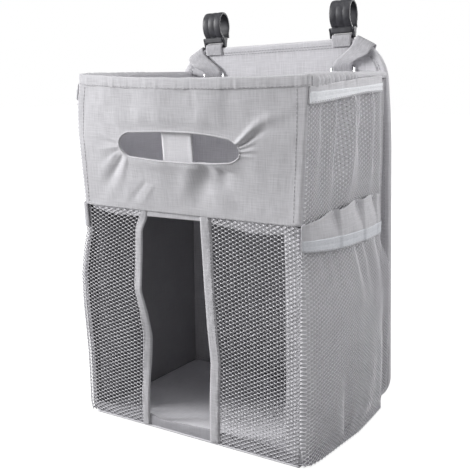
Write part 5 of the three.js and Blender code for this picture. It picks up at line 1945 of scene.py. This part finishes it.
def hook_jaw():
    """Oval jaw with rounded bands, from the base over the rail to a flared lip, about the carrying bar."""
    semi_depth = (HOOK_BORE_DEPTH + HOOK_WALL) / 2
    semi_height = (HOOK_BORE_HEIGHT + HOOK_WALL) / 2
    middle_z = HOOK_BASE_TOP - HOOK_WELD + HOOK_WALL + HOOK_BORE_HEIGHT / 2
    turn = np.linspace(HOOK_FOOT_ANGLE, HOOK_LIP_ANGLE, JAW_STEPS)
    origin = place_at(0, HOOK_SETBACK + semi_depth * np.cos(turn), middle_z + semi_height * np.sin(turn))
    out = unit(place_at(0, np.cos(turn) / semi_depth, np.sin(turn) / semi_height))
    for length in (HOOK_LIP_NECK, HOOK_LIP_LENGTH):
        angle = math.atan2(out[-1][2], out[-1][1]) + HOOK_LIP_FLARE / 2
        way = np.array([0, math.cos(angle), math.sin(angle)])
        place = origin[-1] + length * np.array([0, way[2], -way[1]])
        origin = np.concatenate([origin, [place]])
        out = np.concatenate([out, [way]])
    share = np.linspace(0, 1, HOOK_BANDS * BAND_STEPS + 1)
    rise = HOOK_BAND_RISE * abs(np.sin(math.pi * HOOK_BANDS * share)) ** HOOK_BAND_ROUNDNESS
    top = np.stack([HOOK_LENGTH * (0.5 - share), HOOK_WALL / 2 - HOOK_BAND_RISE + rise], axis=-1)
    foot = np.stack([HOOK_LENGTH * (share - 0.5), np.full_like(share, -HOOK_WALL / 2)], axis=-1)
    return sweep(np.concatenate([top, foot]), origin, RIGHT, out)


def hook_bar(outline, start, end, middle=(0.0, 0.0)):
    """Solid of one outline along the hook's bar, from one place across to another."""
    origin = np.array([[start, *middle], [end, *middle]])
    return sweep(outline, origin, BACKWARD, UP)


def hook_block(half_length, half_depth, foot, corner):
    """Block with rounded long edges below the jaw."""
    outline = rounded_section(2 * half_depth, HOOK_BASE_TOP - foot, corner)
    return hook_bar(outline, -half_length, half_length, (0.0, (foot + HOOK_BASE_TOP) / 2))


def build_hook(name, side):
    ear_in = STRAP_WIDTH / 2 + HOOK_EAR_ROOM
    ear_out = ear_in + HOOK_EAR_WIDTH
    half = HOOK_BASE_DEPTH / 2
    shoulder = HOOK_BASE_TOP - HOOK_SHOULDER
    turns = np.linspace(math.pi, 2 * math.pi, HOOK_EAR_POINTS)
    rim = HOOK_EAR_RADIUS * np.stack([np.cos(turns), np.sin(turns)], axis=-1)
    top = [[half - HOOK_EAR_LAP, shoulder + HOOK_EAR_LAP], [-half + HOOK_EAR_LAP, shoulder + HOOK_EAR_LAP]]
    ear = np.concatenate([top, rim])
    parts = [
        hook_jaw(),
        hook_block(ear_in - HOOK_BASE_ROOM, half, HOOK_BASE_RISE, HOOK_BASE_CORNER),
        hook_block(ear_out, half - HOOK_SHOULDER_ROOM, shoulder, HOOK_SHOULDER_CORNER),
        hook_bar(ear, ear_in, ear_out),
        hook_bar(ear, -ear_out, -ear_in),
        hook_bar(circle(WIRE_SIDES) * HOOK_BAR_RADIUS, -ear_in - HOOK_BAR_LAP, ear_in + HOOK_BAR_LAP),
    ]
    points, quads, flat = join_parts(parts)
    moulding = (points + (side * HOOK_X, BACK_MIDDLE_Y, HOOK_BAR_HEIGHT), quads, flat)
    node = f"hook_{name}"
    weld(make_piece(f"{node}_moulding", moulding, "plastic", node, node, True))


def weld(piece):
    """Joins the parts of a moulding into one surface with soft inner corners."""
    remesh = piece.modifiers.new("weld", "REMESH")
    remesh.mode = "VOXEL"
    remesh.voxel_size = HOOK_VOXEL * MM
    remesh.use_smooth_shade = True
    relax = piece.modifiers.new("relax", "SMOOTH")
    relax.factor = HOOK_RELAX
    relax.iterations = HOOK_RELAX_ROUNDS
    graph = bpy.context.evaluated_depsgraph_get()
    mesh = bpy.data.meshes.new_from_object(piece.evaluated_get(graph))
    piece.modifiers.clear()
    piece.data = mesh


# Stage


def floor_look():
    """White floor that keeps a faint shadow."""
    material = bpy.data.materials.new("white_floor")
    material.use_nodes = True
    tree = material.node_tree
    tree.nodes.clear()
    seen = put(tree, "LightPath", output="Is Camera Ray")
    greys = {0: seen, 6: grey(FLOOR_LIT_GREY), 7: grey(FLOOR_SEEN_GREY)}
    paint = put(tree, "Mix", greys, 2, data_type="RGBA")
    diffuse = put(tree, "BsdfDiffuse", {"Color": paint})
    glow = put(tree, "Emission", {"Color": grey(1.0), "Strength": FLOOR_GLOW})
    away = put(tree, "VectorMath", {0: put(tree, "TexCoord", output="Object")}, 1, operation="LENGTH")
    fade = {0: away, 1: FLOOR_SHADOW[0], 2: FLOOR_SHADOW[1], 3: FLOOR_SHADOW_GLOW, 4: 1.0}
    share = times(tree, seen, put(tree, "MapRange", fade))
    surface = put(tree, "MixShader", {0: share, 1: diffuse, 2: glow})
    output = tree.nodes.new("ShaderNodeOutputMaterial")
    tree.links.new(surface, output.inputs["Surface"])
    return material


def add_floor(scene):
    mesh = bpy.data.meshes.new("floor")
    corners = [(-1, -1), (1, -1), (1, 1), (-1, 1)]
    mesh.from_pydata([(FLOOR_REACH * x, FLOOR_REACH * y, 0) for x, y in corners], [], [(0, 1, 2, 3)])
    mesh.materials.append(floor_look())
    floor = bpy.data.objects.new("floor", mesh)
    floor.location.z = packed_bounds[0][2] - FLOOR_ROOM
    scene.collection.objects.link(floor)


def set_world(scene):
    """White to the eye, paler in reflections, and soft studio light otherwise."""
    world = bpy.data.worlds.new("studio")
    scene.world = world
    world.use_nodes = True
    tree = world.node_tree
    tree.nodes.clear()
    rays = tree.nodes.new("ShaderNodeLightPath")
    mirrored = times(tree, rays.outputs["Is Glossy Ray"], WORLD_MIRRORED)
    seen = calc(tree, "MAXIMUM", rays.outputs["Is Camera Ray"], mirrored)
    strength = calc(tree, "MAXIMUM", seen, WORLD_LIGHT)
    background = put(tree, "Background", {"Color": grey(1.0), "Strength": strength})
    output = tree.nodes.new("ShaderNodeOutputWorld")
    tree.links.new(background, output.inputs["Surface"])


def add_light(scene, name, place, size, power):
    light = bpy.data.lights.new(name, "AREA")
    light.shape = "DISK"
    light.size = size
    light.energy = power
    lamp = bpy.data.objects.new(name, light)
    lamp.location = place
    lamp.visible_camera = False
    lamp.rotation_euler = (Vector(LIGHT_TARGET) - Vector(place)).to_track_quat("-Z", "Y").to_euler()
    scene.collection.objects.link(lamp)


def add_camera(scene):
    camera = bpy.data.cameras.new("photo_view")
    camera.sensor_width = SENSOR
    camera.lens = LENS
    camera.clip_end = VIEW_END
    holder = bpy.data.objects.new("photo_view", camera)
    flat = math.cos(ELEVATION)
    back = Vector((math.sin(AZIMUTH) * flat, -math.cos(AZIMUTH) * flat, math.sin(ELEVATION)))
    level = Vector((math.cos(AZIMUTH), math.sin(AZIMUTH), 0))
    right = math.cos(ROLL) * level + math.sin(ROLL) * back.cross(level)
    turned = Matrix((right, back.cross(right), back)).transposed().to_4x4()
    holder.matrix_world = Matrix.Translation(EYE) @ turned
    scene.collection.objects.link(holder)
    scene.camera = holder
    scene.view_settings.view_transform = "Standard"


def build_stage():
    scene = bpy.context.scene
    add_floor(scene)
    set_world(scene)
    for row in LIGHTS:
        add_light(scene, *row)
    add_camera(scene)


def keep_boards():
    """The stiffening boards stay as the part's own solids."""
    for name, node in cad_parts.items():
        if "board" in name:
            node.data.materials.clear()
            node.data.materials.append(LOOKS["board"])


build_upper_front()
build_lower_front()
build_base_and_shelf()
build_back_panel()
for side_name, side_sign in SIDES.items():
    build_wall(side_name, side_sign)
    build_pockets(side_name, side_sign)
    build_strap(side_name, side_sign)
    build_ring(side_name, side_sign)
    build_hook_loop(side_name, side_sign)
    build_hook(side_name, side_sign)
make_piece("seam_stitches", join_parts(stitch_parts), "thread")
keep_boards()
build_stage()
